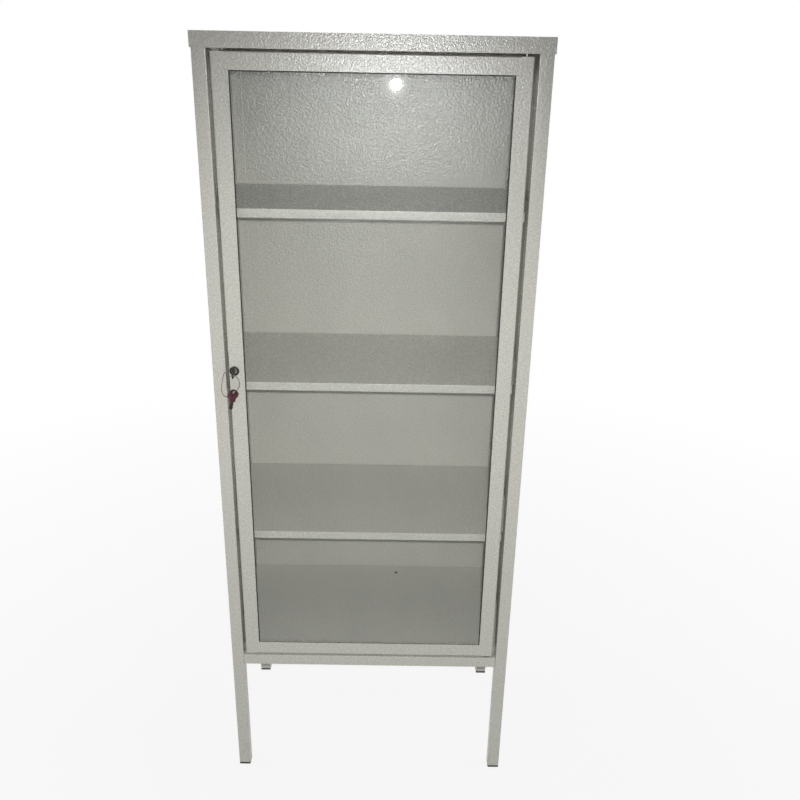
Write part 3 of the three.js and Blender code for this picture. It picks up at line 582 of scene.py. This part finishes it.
class CABINET_OT_glazing(bpy.types.Operator):
    """Pane with ground edges and the gasket under it"""

    bl_idname = "cabinet.glazing"
    bl_label = "Glazing"

    def execute(self, context):
        dress("door_glass", "door", "glass", material("glass"), context.scene.cabinet_sizes.small_round)
        self.gasket(context.scene.cabinet_sizes)
        return {"FINISHED"}

    def gasket(self, sizes):
        """A flat rubber frame whose lip shows inside the door's opening, save along the bottom. The lip
        is a dark strip put where the opening's top and sides lie in shade: painted shade.
        """
        low, high = (Vector(corner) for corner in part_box("glass_gasket"))
        left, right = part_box("door_stile_lock")[1][0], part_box("door_stile_hinge")[0][0]
        bottom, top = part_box("door_rail_bottom")[1][2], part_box("door_rail_top")[0][2]
        # The lip narrows the opening at the top and sides with dark rubber: painted shade.
        shade_lip = sizes.painted_shade_lip
        outer = ((low.x, low.z), (high.x, low.z), (high.x, high.z), (low.x, high.z))
        left, right, top = left + shade_lip, right - shade_lip, top - shade_lip
        inner = ((left, bottom), (right, bottom), (right, top), (left, top))
        bm = bmesh.new()
        rings = []
        for corners in (outer, inner):
            verts = [bm.verts.new((x, low.y, z)) for x, z in corners]
            rings.append([bm.edges.new((verts[i], verts[(i + 1) % 4])) for i in range(4)])
        faces = bmesh.ops.bridge_loops(bm, edges=rings[0] + rings[1])["faces"]
        grown = bmesh.ops.extrude_face_region(bm, geom=faces, use_keep_orig=True)
        verts = [item for item in grown["geom"] if isinstance(item, bmesh.types.BMVert)]
        bmesh.ops.translate(bm, verts=verts, vec=(0, high.y - low.y, 0))
        bmesh.ops.recalc_face_normals(bm, faces=bm.faces)
        round_edges(bm, sizes.sheet_round)
        name = "glass_gasket_and_shade_lip"
        piece = place_piece(name, finish_mesh(bm, name), "door", "gasket_rubber", material("rubber"))
        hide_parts("glass_gasket")


class CABINET_OT_pivots(bpy.types.Operator):
    """Pivot pins and thrust washer"""

    bl_idname = "cabinet.pivots"
    bl_label = "Pivots"

    def execute(self, context):
        width = context.scene.cabinet_sizes.small_round
        for node in PIVOT_NODES:
            dress(node, "cabinet", "zinc_steel", material("wire"), width)
        return {"FINISHED"}


PLUG_GAP = 0.0003
BARREL_RADIUS = 0.008
LOCK_FLANGE = 0.0034


class CABINET_OT_lock(bpy.types.Operator):
    """Cam lock: turned face and barrel, nut, plug, cam and screw"""

    bl_idname = "cabinet.lock"
    bl_label = "Lock"

    def execute(self, context):
        width = context.scene.cabinet_sizes.small_round
        low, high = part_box("lock_body")
        plug_low, plug_high = (Vector(corner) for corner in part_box("lock_plug"))
        bore = (plug_high.x - plug_low.x) / 2 + PLUG_GAP
        face = (high[0] - low[0]) / 2
        barrel = BARREL_RADIUS
        front, rear = low[1], high[1]
        seat = front + LOCK_FLANGE
        # Bore, groove round the plug, rounded rim, flange and barrel, and back to the bore
        profile = [
            (bore, rear), (bore, front + 0.0003), (bore + 0.0003, front), (bore + 0.0013, front),
            (bore + 0.0016, front + 0.0004), (bore + 0.0019, front), (face - 0.0014, front),
            (face - 0.0006, front + 0.0003), (face - 0.0002, front + 0.0008), (face, front + 0.0014),
            (face, seat), (barrel, seat), (barrel, rear - 0.0004), (barrel - 0.0004, rear), (bore, rear),
        ]
        bm = bmesh.new()
        spin_profile(bm, profile)
        bmesh.ops.translate(bm, verts=bm.verts, vec=((low[0] + high[0]) / 2, 0, (low[2] + high[2]) / 2))
        name = "lock_body_dressed"
        piece = place_piece(name, finish_mesh(bm, name), "door", "lock_steel", material("lock"))
        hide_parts("lock_body")
        dress("lock_nut", "door", "zinc_steel", material("zinc"), width)
        dress("lock_plug", "lock", "lock_steel", material("plug"), width)
        dress("lock_cam", "lock", "zinc_steel", material("zinc"), width)
        dress("cam_screw", "lock", "zinc_steel", material("zinc"), width)
        return {"FINISHED"}


RING_OPENING = 0.06
RING_STEPS = 96


class CABINET_OT_keys(bpy.types.Operator):
    """Key in the lock, wire ring and spare key"""

    bl_idname = "cabinet.keys"
    bl_label = "Keys"

    def execute(self, context):
        sizes = context.scene.cabinet_sizes
        dress("key", "key", "lock_steel", material("lock"), sizes.small_round)
        dress("spare_key", "key_ring", "lock_steel", material("lock"), sizes.small_round)
        low, high = (Vector(corner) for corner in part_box("key_ring"))
        middle = (low + high) / 2
        half = (high - low) / 2
        radius = sizes.ring_wire / 2
        points = []
        for i in range(RING_STEPS + 1):
            angle = RING_OPENING + (2 * math.pi - 2 * RING_OPENING) * i / RING_STEPS
            x = middle.x - (half.x - radius) * math.cos(angle)
            points.append((x, middle.y, middle.z + (half.z - radius) * math.sin(angle)))
        mesh = wire_mesh(points, radius)
        for face in mesh.polygons:
            face.use_smooth = True
        ring = place_piece("key_ring_dressed", mesh, "key_ring", "zinc_steel", material("wire"))
        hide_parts("key_ring")
        return {"FINISHED"}


# The thread's route on the spare key, in the key's own axes, as the solid has it

BOW_RADIUS = 0.0095
BOW_CENTRE = -0.004
NECK_HALF = 0.0045
THREAD_TOP = -0.0046
THREAD_FACE = 0.0036
THREAD_SIDE = 0.0022
THREAD_END = 0.0013
THREAD_LOOPS = 8
THREAD_PITCH = 0.0018
LOOP_STEPS = 36
SLACK_TOP = 0.0003
SLACK_LOOPS = 7
SLACK_PITCH = 0.002
SLACK_TILT = 0.0005
SLACK_DRIFT = 0.6
SLACK_FACE = 0.6
SLACK_SIDE = 0.4
SLANT_MIDDLE = -0.0085
SLANT_TILT = 0.0048
SLANT_FACE = 1.4
SLANT_SIDE = 0.7
STRANDS = 3
STRAND_SHARE = 0.27
KEY_TWIST = math.radians(45)
KEY_LEAN = math.radians(15)
RING_HEIGHT = 0.031
SPARE_DROP = 0.0022

# The loop that stands loose beside the lock, in millimetres from the ring's lowest point
LOOSE_LOOP = (
    (-7.0, 1.5, -5.0), (-9.5, 2.8, 6.5), (-11.5, 3.3, 20.5), (-12.3, 3.6, 32.5), (-13.9, 3.8, 38.0),
    (-16.6, 3.8, 36.0), (-19.8, 3.6, 26.0), (-22.2, 3.4, 13.5), (-22.9, 3.2, 3.0), (-21.8, 3.0, -4.5),
    (-17.8, 2.5, -8.8), (-11.5, 1.6, -10.4), (-6.0, 0.8, -11.0),
)
LOOSE_STEPS = 9


def bow_half(z):
    """Half the width of the spare key at a height."""
    return math.sqrt(max(BOW_RADIUS ** 2 - (z - BOW_CENTRE) ** 2, NECK_HALF ** 2))


def thread_route(diameter):
    """Even turns down the bow, with both ends turned in to it."""
    straight = THREAD_END + diameter
    bend = THREAD_FACE - straight
    quarter = LOOP_STEPS // 4
    bottom = THREAD_TOP - THREAD_LOOPS * THREAD_PITCH
    route = [Vector((bend, THREAD_END, THREAD_TOP))]
    for i in range(quarter):
        angle = 0.5 * math.pi * i / quarter
        route.append(Vector((bend * math.cos(angle), straight + bend * math.sin(angle), THREAD_TOP)))
    for i in range(THREAD_LOOPS * LOOP_STEPS + 1):
        angle = 0.5 * math.pi + 2 * math.pi * i / LOOP_STEPS
        z = THREAD_TOP - THREAD_PITCH * i / LOOP_STEPS
        side = bow_half(z) + THREAD_SIDE
        route.append(Vector((side * math.cos(angle), THREAD_FACE * math.sin(angle), z)))
    for i in range(1, quarter + 1):
        angle = 0.5 * math.pi * (1 + i / quarter)
        route.append(Vector((bend * math.cos(angle), straight + bend * math.sin(angle), bottom)))
    route.append(Vector((-bend, THREAD_END, bottom)))
    return route


def loose_route(diameter):
    """Slack turns laid over the first ones, from the hole down."""
    face = THREAD_FACE + SLACK_FACE * diameter
    route = []
    for i in range(SLACK_LOOPS * LOOP_STEPS + 1):
        angle = 0.5 * math.pi + 2 * math.pi * i / LOOP_STEPS
        tilt = SLACK_TILT * math.sin(angle + SLACK_DRIFT * i / LOOP_STEPS)
        z = SLACK_TOP - SLACK_PITCH * i / LOOP_STEPS + tilt
        side = bow_half(z) + THREAD_SIDE - SLACK_SIDE * diameter
        route.append(Vector((side * math.cos(angle), face * math.sin(angle), z)))
    return route


def slant_route(diameter):
    """One slack turn laid slantwise over the rest."""
    face = THREAD_FACE + SLANT_FACE * diameter
    route = []
    for i in range(LOOP_STEPS + 1):
        angle = 2 * math.pi * i / LOOP_STEPS
        z = SLANT_MIDDLE + SLANT_TILT * math.cos(angle)
        side = bow_half(z) + THREAD_SIDE - SLANT_SIDE * diameter
        route.append(Vector((side * math.cos(angle), face * math.sin(angle), z)))
    return route


def smooth_route(points):
    """A smooth line through the points."""
    route = []
    for i in range(len(points) - 1):
        before, start = points[max(i - 1, 0)], points[i]
        end, after = points[i + 1], points[min(i + 2, len(points) - 1)]
        for k in range(LOOSE_STEPS):
            t = k / LOOSE_STEPS
            route.append(0.5 * (
                2 * start + (end - before) * t + (2 * before - 5 * start + 4 * end - after) * t ** 2
                + (3 * start - 3 * end + after - before) * t ** 3
            ))
    route.append(points[-1])
    return route


class CABINET_OT_thread(bpy.types.Operator):
    """Twisted thread wound round the spare key's bow"""

    bl_idname = "cabinet.thread"
    bl_label = "Thread"

    def execute(self, context):
        sizes = context.scene.cabinet_sizes
        ring_low, ring_high = (Vector(corner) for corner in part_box("key_ring"))
        middle = (ring_low + ring_high) / 2
        hang_z = ring_high.z - sizes.ring_wire / 2 - RING_HEIGHT - SPARE_DROP
        hang = Vector((middle.x, middle.y, hang_z))
        turn = Matrix.Rotation(KEY_TWIST, 4, "Z") @ Matrix.Rotation(KEY_LEAN, 4, "Y")
        bm = bmesh.new()
        for laid in (thread_route, loose_route, slant_route):
            route = [Matrix.Translation(hang) @ turn @ point for point in laid(sizes.thread)]
            self.lay_strands(bm, route, turn.to_3x3() @ Vector((0, 0, 1)), sizes)
        loop = smooth_route([hang + 0.001 * Vector(point) for point in LOOSE_LOOP])
        self.lay_strands(bm, loop, Vector((0, 1, 0)), sizes)
        name = "key_thread_dressed"
        mesh = finish_mesh(bm, name, math.radians(70))
        piece = place_piece(
            name, mesh, "key_ring", "thread", material("thread"), material("thread_light")
        )
        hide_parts("key_thread")
        return {"FINISHED"}

    def lay_strands(self, bm, route, upright, sizes):
        """Three strands twisted round the route, one of them faded."""
        strand = STRAND_SHARE * sizes.thread
        offset = sizes.thread / 2 - strand
        for k in range(STRANDS):
            line = []
            along = 0.0
            for i, point in enumerate(route):
                tangent = (route[min(i + 1, len(route) - 1)] - route[max(i - 1, 0)]).normalized()
                along += (point - route[max(i - 1, 0)]).length
                across = tangent.cross(upright).normalized()
                angle = 2 * math.pi * (along / sizes.thread_twist + k / STRANDS)
                aside = across * math.cos(angle) + tangent.cross(across) * math.sin(angle)
                line.append(point + offset * aside)
            mesh = wire_mesh(line, strand)
            for face in mesh.polygons:
                face.material_index = 1 if k == 0 else 0
            bm.from_mesh(mesh)
            bpy.data.meshes.remove(mesh)


BEAD_SHEET = 0.0012
BEAD_SCREW_HEIGHT = 0.0014
BEAD_SCREW_INSET = 0.0042
BRACKET_SHEET = 0.0015
BRACKET_RIVET_HEIGHT = 0.0016
BRACKET_RIVET_RISE = 0.006
PANEL_RIVET_HEIGHT = 0.0009
PANEL_RIVET_RISE = 0.0125
BACK_RIVET_INSET = 0.0095
BACK_RIVET_FIRST = 0.04
BACK_RIVET_SHORT = 0.11
BACK_RIVET_COUNT = 7
FLOOR_PLUG_X = 0.056
FLOOR_PLUG_INSET = 0.03
FLOOR_PLUG_HEIGHT = 0.0012


class CABINET_OT_fasteners(bpy.types.Operator):
    """Screws in the glazing beads, rivets in the brackets and panels, plug in the floor"""

    bl_idname = "cabinet.fasteners"
    bl_label = "Fasteners"

    def execute(self, context):
        sizes = context.scene.cabinet_sizes
        self.bead_screws(sizes.bead_screw)
        self.bracket_rivets(sizes.rivet)
        self.panel_rivets(sizes.rivet)
        self.floor_plug(sizes.floor_plug)
        return {"FINISHED"}

    def bead_screws(self, head):
        bm = bmesh.new()
        for node, side, count in (("lock", 1, 5), ("hinge", -1, 5)):
            low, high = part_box(f"glazing_bead_{node}")
            x = low[0] + BEAD_SHEET if side > 0 else high[0] - BEAD_SHEET
            for i in range(count):
                z = low[2] + (high[2] - low[2]) * (i + 0.5) / count
                place = (x, high[1] - BEAD_SCREW_INSET, z)
                add_head(bm, place, (side, 0, 0), head, BEAD_SCREW_HEIGHT, True)
        for node, side, count in (("bottom", 1, 3), ("top", -1, 3)):
            low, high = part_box(f"glazing_bead_{node}")
            z = low[2] + BEAD_SHEET if side > 0 else high[2] - BEAD_SHEET
            for i in range(count):
                x = low[0] + (high[0] - low[0]) * (i + 0.5) / count
                place = (x, high[1] - BEAD_SCREW_INSET, z)
                add_head(bm, place, (0, 0, side), head, BEAD_SCREW_HEIGHT, True)
        mesh = finish_mesh(bm, "bead_screws")
        place_piece("bead_screws", mesh, "door", "zinc_steel", material("zinc"))

    def bracket_rivets(self, head):
        bm = bmesh.new()
        for level in SHELF_LEVELS:
            for side, inward in (("left", 1), ("right", -1)):
                low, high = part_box(f"shelf_bracket_{side}_{level}")
                x = low[0] + BRACKET_SHEET if inward > 0 else high[0] - BRACKET_SHEET
                for share in (0.12, 0.5, 0.88):
                    y = low[1] + (high[1] - low[1]) * share
                    place = (x, y, low[2] + BRACKET_RIVET_RISE)
                    add_head(bm, place, (inward, 0, 0), head, BRACKET_RIVET_HEIGHT, True)
        mesh = finish_mesh(bm, "bracket_rivets")
        place_piece("bracket_rivets", mesh, "cabinet", "zinc_steel", material("zinc"))

    def panel_rivets(self, head):
        bm = bmesh.new()
        low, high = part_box("back_panel")
        reach = high[2] - low[2] - BACK_RIVET_SHORT
        for x in (low[0] + BACK_RIVET_INSET, high[0] - BACK_RIVET_INSET):
            for i in range(BACK_RIVET_COUNT):
                z = low[2] + BACK_RIVET_FIRST + reach * i / (BACK_RIVET_COUNT - 1)
                add_head(bm, (x, high[1], z), (0, 1, 0), head, PANEL_RIVET_HEIGHT, False)
        for i in range(1, 4):
            x = low[0] + (high[0] - low[0]) * i / 4
            place = (x, high[1], low[2] + PANEL_RIVET_RISE)
            add_head(bm, place, (0, 1, 0), head, PANEL_RIVET_HEIGHT, False)
        for side, outward in (("left", -1), ("right", 1)):
            low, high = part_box(f"side_panel_{side}")
            x = low[0] if outward < 0 else high[0]
            for share in (0.1, 0.5, 0.9):
                y = low[1] + (high[1] - low[1]) * share
                place = (x, y, low[2] + PANEL_RIVET_RISE)
                add_head(bm, place, (outward, 0, 0), head, PANEL_RIVET_HEIGHT, False)
        mesh = finish_mesh(bm, "panel_rivets")
        place_piece("panel_rivets", mesh, "cabinet", "paint", material("paint"))

    def floor_plug(self, diameter):
        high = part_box("floor_panel")[1]
        bm = bmesh.new()
        place = (FLOOR_PLUG_X, high[1] - FLOOR_PLUG_INSET, high[2])
        add_head(bm, place, (0, 0, 1), diameter, FLOOR_PLUG_HEIGHT, True)
        mesh = finish_mesh(bm, "floor_plug")
        place_piece("floor_plug", mesh, "cabinet", "foot_plastic", material("plastic"))


FLOOR_HALF = 7
FLOOR_GLOW = 0.86
FLOOR_FADE = (0.5, 2.4)
SPOT_ANGLE = math.radians(78)
FRONT_LAMP_OFFSET = (0.02, 0.0, 0.032)
FRONT_LAMP_TARGET = (-0.07, 0.0, 0.62)
FRONT_LAMP_RADIUS = 0.012
GLINT_LAMP_OFFSET = (-0.012, 0.0, -0.078)
GLINT_LAMP_TARGET = (0.0, 0.0, 1.3)
SOFT_LAMP_SIZE = 1.6
SOFT_LAMP_TARGET = (0.0, 0.0, 0.85)

# The glint and the glow round it: radius and share of the glint's power
GLINT_LAMPS = (
    ("glint_lamp", 0.019, 1.0), ("glint_halo_small", 0.028, 0.0038),
    ("glint_halo_middle", 0.038, 0.0036), ("glint_halo_wide", 0.05, 0.0032),
)
SOFT_LAMPS = (
    ("left_lamp", (-2.2, 0.4, 1.5)), ("right_lamp", (2.2, 0.4, 1.5)),
    ("rear_lamp", (0.0, 2.5, 1.6)), ("top_lamp", (0.0, 0.5, 3.4)),
)


def mark_seen(tree):
    """One where a surface is seen straight, in a mirror or through glass, and nought elsewhere."""
    path = tree.nodes.new("ShaderNodeLightPath")
    total = path.outputs["Is Camera Ray"]
    for name in ("Is Glossy Ray", "Is Transmission Ray"):
        node = tree.nodes.new("ShaderNodeMath")
        node.operation = "MAXIMUM"
        tree.links.new(total, node.inputs[0])
        tree.links.new(path.outputs[name], node.inputs[1])
        total = node.outputs[0]
    direct = tree.nodes.new("ShaderNodeMath")
    direct.operation = "SUBTRACT"
    direct.use_clamp = True
    tree.links.new(total, direct.inputs[0])
    tree.links.new(path.outputs["Diffuse Depth"], direct.inputs[1])
    return direct.outputs[0]


class CABINET_OT_stage(bpy.types.Operator):
    """White floor and backdrop, lamps and camera"""

    bl_idname = "cabinet.stage"
    bl_label = "Stage"

    def execute(self, context):
        scene = context.scene
        scene.view_settings.view_transform = "Standard"
        self.add_world(scene)
        self.add_floor(scene)
        self.add_camera(scene)
        self.add_lamps(scene)
        return {"FINISHED"}

    def add_world(self, scene):
        world = bpy.data.worlds.new("even_white")
        world.use_nodes = True
        tree = world.node_tree
        back = tree.nodes["Background"]
        back.inputs["Color"].default_value = (1, 1, 1, 1)
        strength = tree.nodes.new("ShaderNodeMapRange")
        strength.inputs["To Min"].default_value = scene.cabinet_stage.sky
        strength.inputs["To Max"].default_value = 1.0
        tree.links.new(mark_seen(tree), strength.inputs["Value"])
        tree.links.new(strength.outputs["Result"], back.inputs["Strength"])
        scene.world = world

    def add_floor(self, scene):
        """A pale floor that keeps the cabinet's shadow and turns white further out."""
        bm = bmesh.new()
        bmesh.ops.create_grid(bm, x_segments=1, y_segments=1, size=FLOOR_HALF)
        mesh = bpy.data.meshes.new("floor")
        bm.to_mesh(mesh)
        bm.free()
        floor = bpy.data.objects.new("floor", mesh)
        scene.collection.objects.link(floor)
        f = Finish("white_floor")
        tone = f.ramp(f.noise(3, 2.0), (0.6, 0.6, 0.6), (0.64, 0.64, 0.64))
        f.link(tone, f.shader.inputs["Base Color"])
        f.set(Roughness=0.9, Specular_IOR_Level=0.1)
        glow = f.add("ShaderNodeEmission")
        glow.inputs["Color"].default_value = (1, 1, 1, 1)
        glow.inputs["Strength"].default_value = 1.0
        away = f.add("ShaderNodeVectorMath", operation="LENGTH")
        f.link(f.place, away.inputs[0])
        share = f.add("ShaderNodeMath", operation="MULTIPLY")
        f.link(mark_seen(f.tree), share.inputs[0])
        f.link(f.spread(away.outputs["Value"], FLOOR_GLOW, 1.0, *FLOOR_FADE), share.inputs[1])
        mixed = f.add("ShaderNodeMixShader")
        f.link(share.outputs[0], mixed.inputs["Fac"])
        f.link(f.shader.outputs["BSDF"], mixed.inputs[1])
        f.link(glow.outputs["Emission"], mixed.inputs[2])
        f.link(mixed.outputs["Shader"], f.tree.nodes["Material Output"].inputs["Surface"])
        mesh.materials.append(f.material)

    def add_camera(self, scene):
        stage = scene.cabinet_stage
        data = bpy.data.cameras.new("camera")
        data.sensor_width = 36.0
        data.lens = stage.camera_lens
        data.clip_end = 50.0
        camera = bpy.data.objects.new("camera", data)
        scene.collection.objects.link(camera)
        turn = Matrix.Rotation(stage.camera_yaw, 4, "Z")
        turn = turn @ Matrix.Rotation(math.pi / 2 - stage.camera_pitch, 4, "X")
        turn = turn @ Matrix.Rotation(stage.camera_roll, 4, "Z")
        camera.matrix_world = Matrix.Translation(stage.camera_place) @ turn
        scene.camera = camera

    def add_lamps(self, scene):
        """One lamp close above the lens, and under it those whose glint the glass and paint show."""
        stage = scene.cabinet_stage
        eye = Vector(stage.camera_place)
        front = self.add_lamp(
            scene, "front_lamp", eye + Vector(FRONT_LAMP_OFFSET), stage.lamp_power, FRONT_LAMP_RADIUS,
            Vector(FRONT_LAMP_TARGET),
        )
        front.visible_glossy = False
        for name, radius, share in GLINT_LAMPS:
            glint = self.add_lamp(
                scene, name, eye + Vector(GLINT_LAMP_OFFSET), stage.glint_power * share, radius,
                Vector(GLINT_LAMP_TARGET),
            )
            glint.visible_diffuse = False
        for name, place in SOFT_LAMPS:
            self.add_soft_lamp(scene, name, Vector(place), stage.side_power)

    def add_soft_lamp(self, scene, name, place, power):
        """A wide lamp for a side that the front lamp doesn't reach, or for the top."""
        data = bpy.data.lights.new(name, "AREA")
        data.energy = power
        data.shape = "DISK"
        data.size = SOFT_LAMP_SIZE
        lamp = bpy.data.objects.new(name, data)
        lamp.location = place
        lamp.rotation_euler = (Vector(SOFT_LAMP_TARGET) - place).to_track_quat("-Z", "Y").to_euler()
        lamp.visible_camera = False
        lamp.visible_glossy = False
        lamp.visible_transmission = False
        scene.collection.objects.link(lamp)

    def add_lamp(self, scene, name, place, power, radius, target):
        data = bpy.data.lights.new(name, "SPOT")
        data.energy = power
        data.spot_size = SPOT_ANGLE
        data.spot_blend = 1.0
        data.shadow_soft_size = radius
        lamp = bpy.data.objects.new(name, data)
        lamp.location = place
        aim = target + Vector((0.0, CAD_BOX[0][1], 0.0)) - place
        lamp.rotation_euler = aim.to_track_quat("-Z", "Y").to_euler()
        lamp.visible_transmission = False
        scene.collection.objects.link(lamp)
        return lamp


OPERATORS = (
    CABINET_OT_stage, CABINET_OT_thread, CABINET_OT_frame_members, CABINET_OT_panels, CABINET_OT_shelves,
    CABINET_OT_feet, CABINET_OT_door_frame, CABINET_OT_glazing, CABINET_OT_pivots, CABINET_OT_lock,
    CABINET_OT_keys, CABINET_OT_fasteners,
)


class CABINET_PT_panel(bpy.types.Panel):
    """Lists the cabinet's pieces and values"""

    bl_idname = "CABINET_PT_panel"
    bl_label = "Medical cabinet"
    bl_space_type = "VIEW_3D"
    bl_region_type = "UI"
    bl_category = "Cabinet"

    def draw(self, context):
        for operator in OPERATORS:
            self.layout.operator(operator.bl_idname)
        for name, kind in GROUPS.items():
            box = self.layout.box()
            for value in kind.__annotations__:
                box.prop(getattr(context.scene, name), value)


GROUPS = {"cabinet_sizes": CabinetSizes, "cabinet_finish": CabinetFinish, "cabinet_stage": CabinetStage}


def register():
    for group in GROUPS.values():
        bpy.utils.register_class(group)
    for name, group in GROUPS.items():
        setattr(bpy.types.Scene, name, bpy.props.PointerProperty(type=group))
    for operator in OPERATORS:
        bpy.utils.register_class(operator)
    bpy.utils.register_class(CABINET_PT_panel)


def unregister():
    bpy.utils.unregister_class(CABINET_PT_panel)
    for operator in reversed(OPERATORS):
        bpy.utils.unregister_class(operator)
    for name in GROUPS:
        delattr(bpy.types.Scene, name)
    for group in GROUPS.values():
        bpy.utils.unregister_class(group)


def main():
    register()
    bpy.ops.cabinet.stage()
    bpy.ops.cabinet.thread()
    bpy.ops.cabinet.frame_members()
    bpy.ops.cabinet.panels()
    bpy.ops.cabinet.shelves()
    bpy.ops.cabinet.feet()
    bpy.ops.cabinet.door_frame()
    bpy.ops.cabinet.glazing()
    bpy.ops.cabinet.pivots()
    bpy.ops.cabinet.lock()
    bpy.ops.cabinet.keys()
    bpy.ops.cabinet.fasteners()


if __name__ == "__main__":
    main()
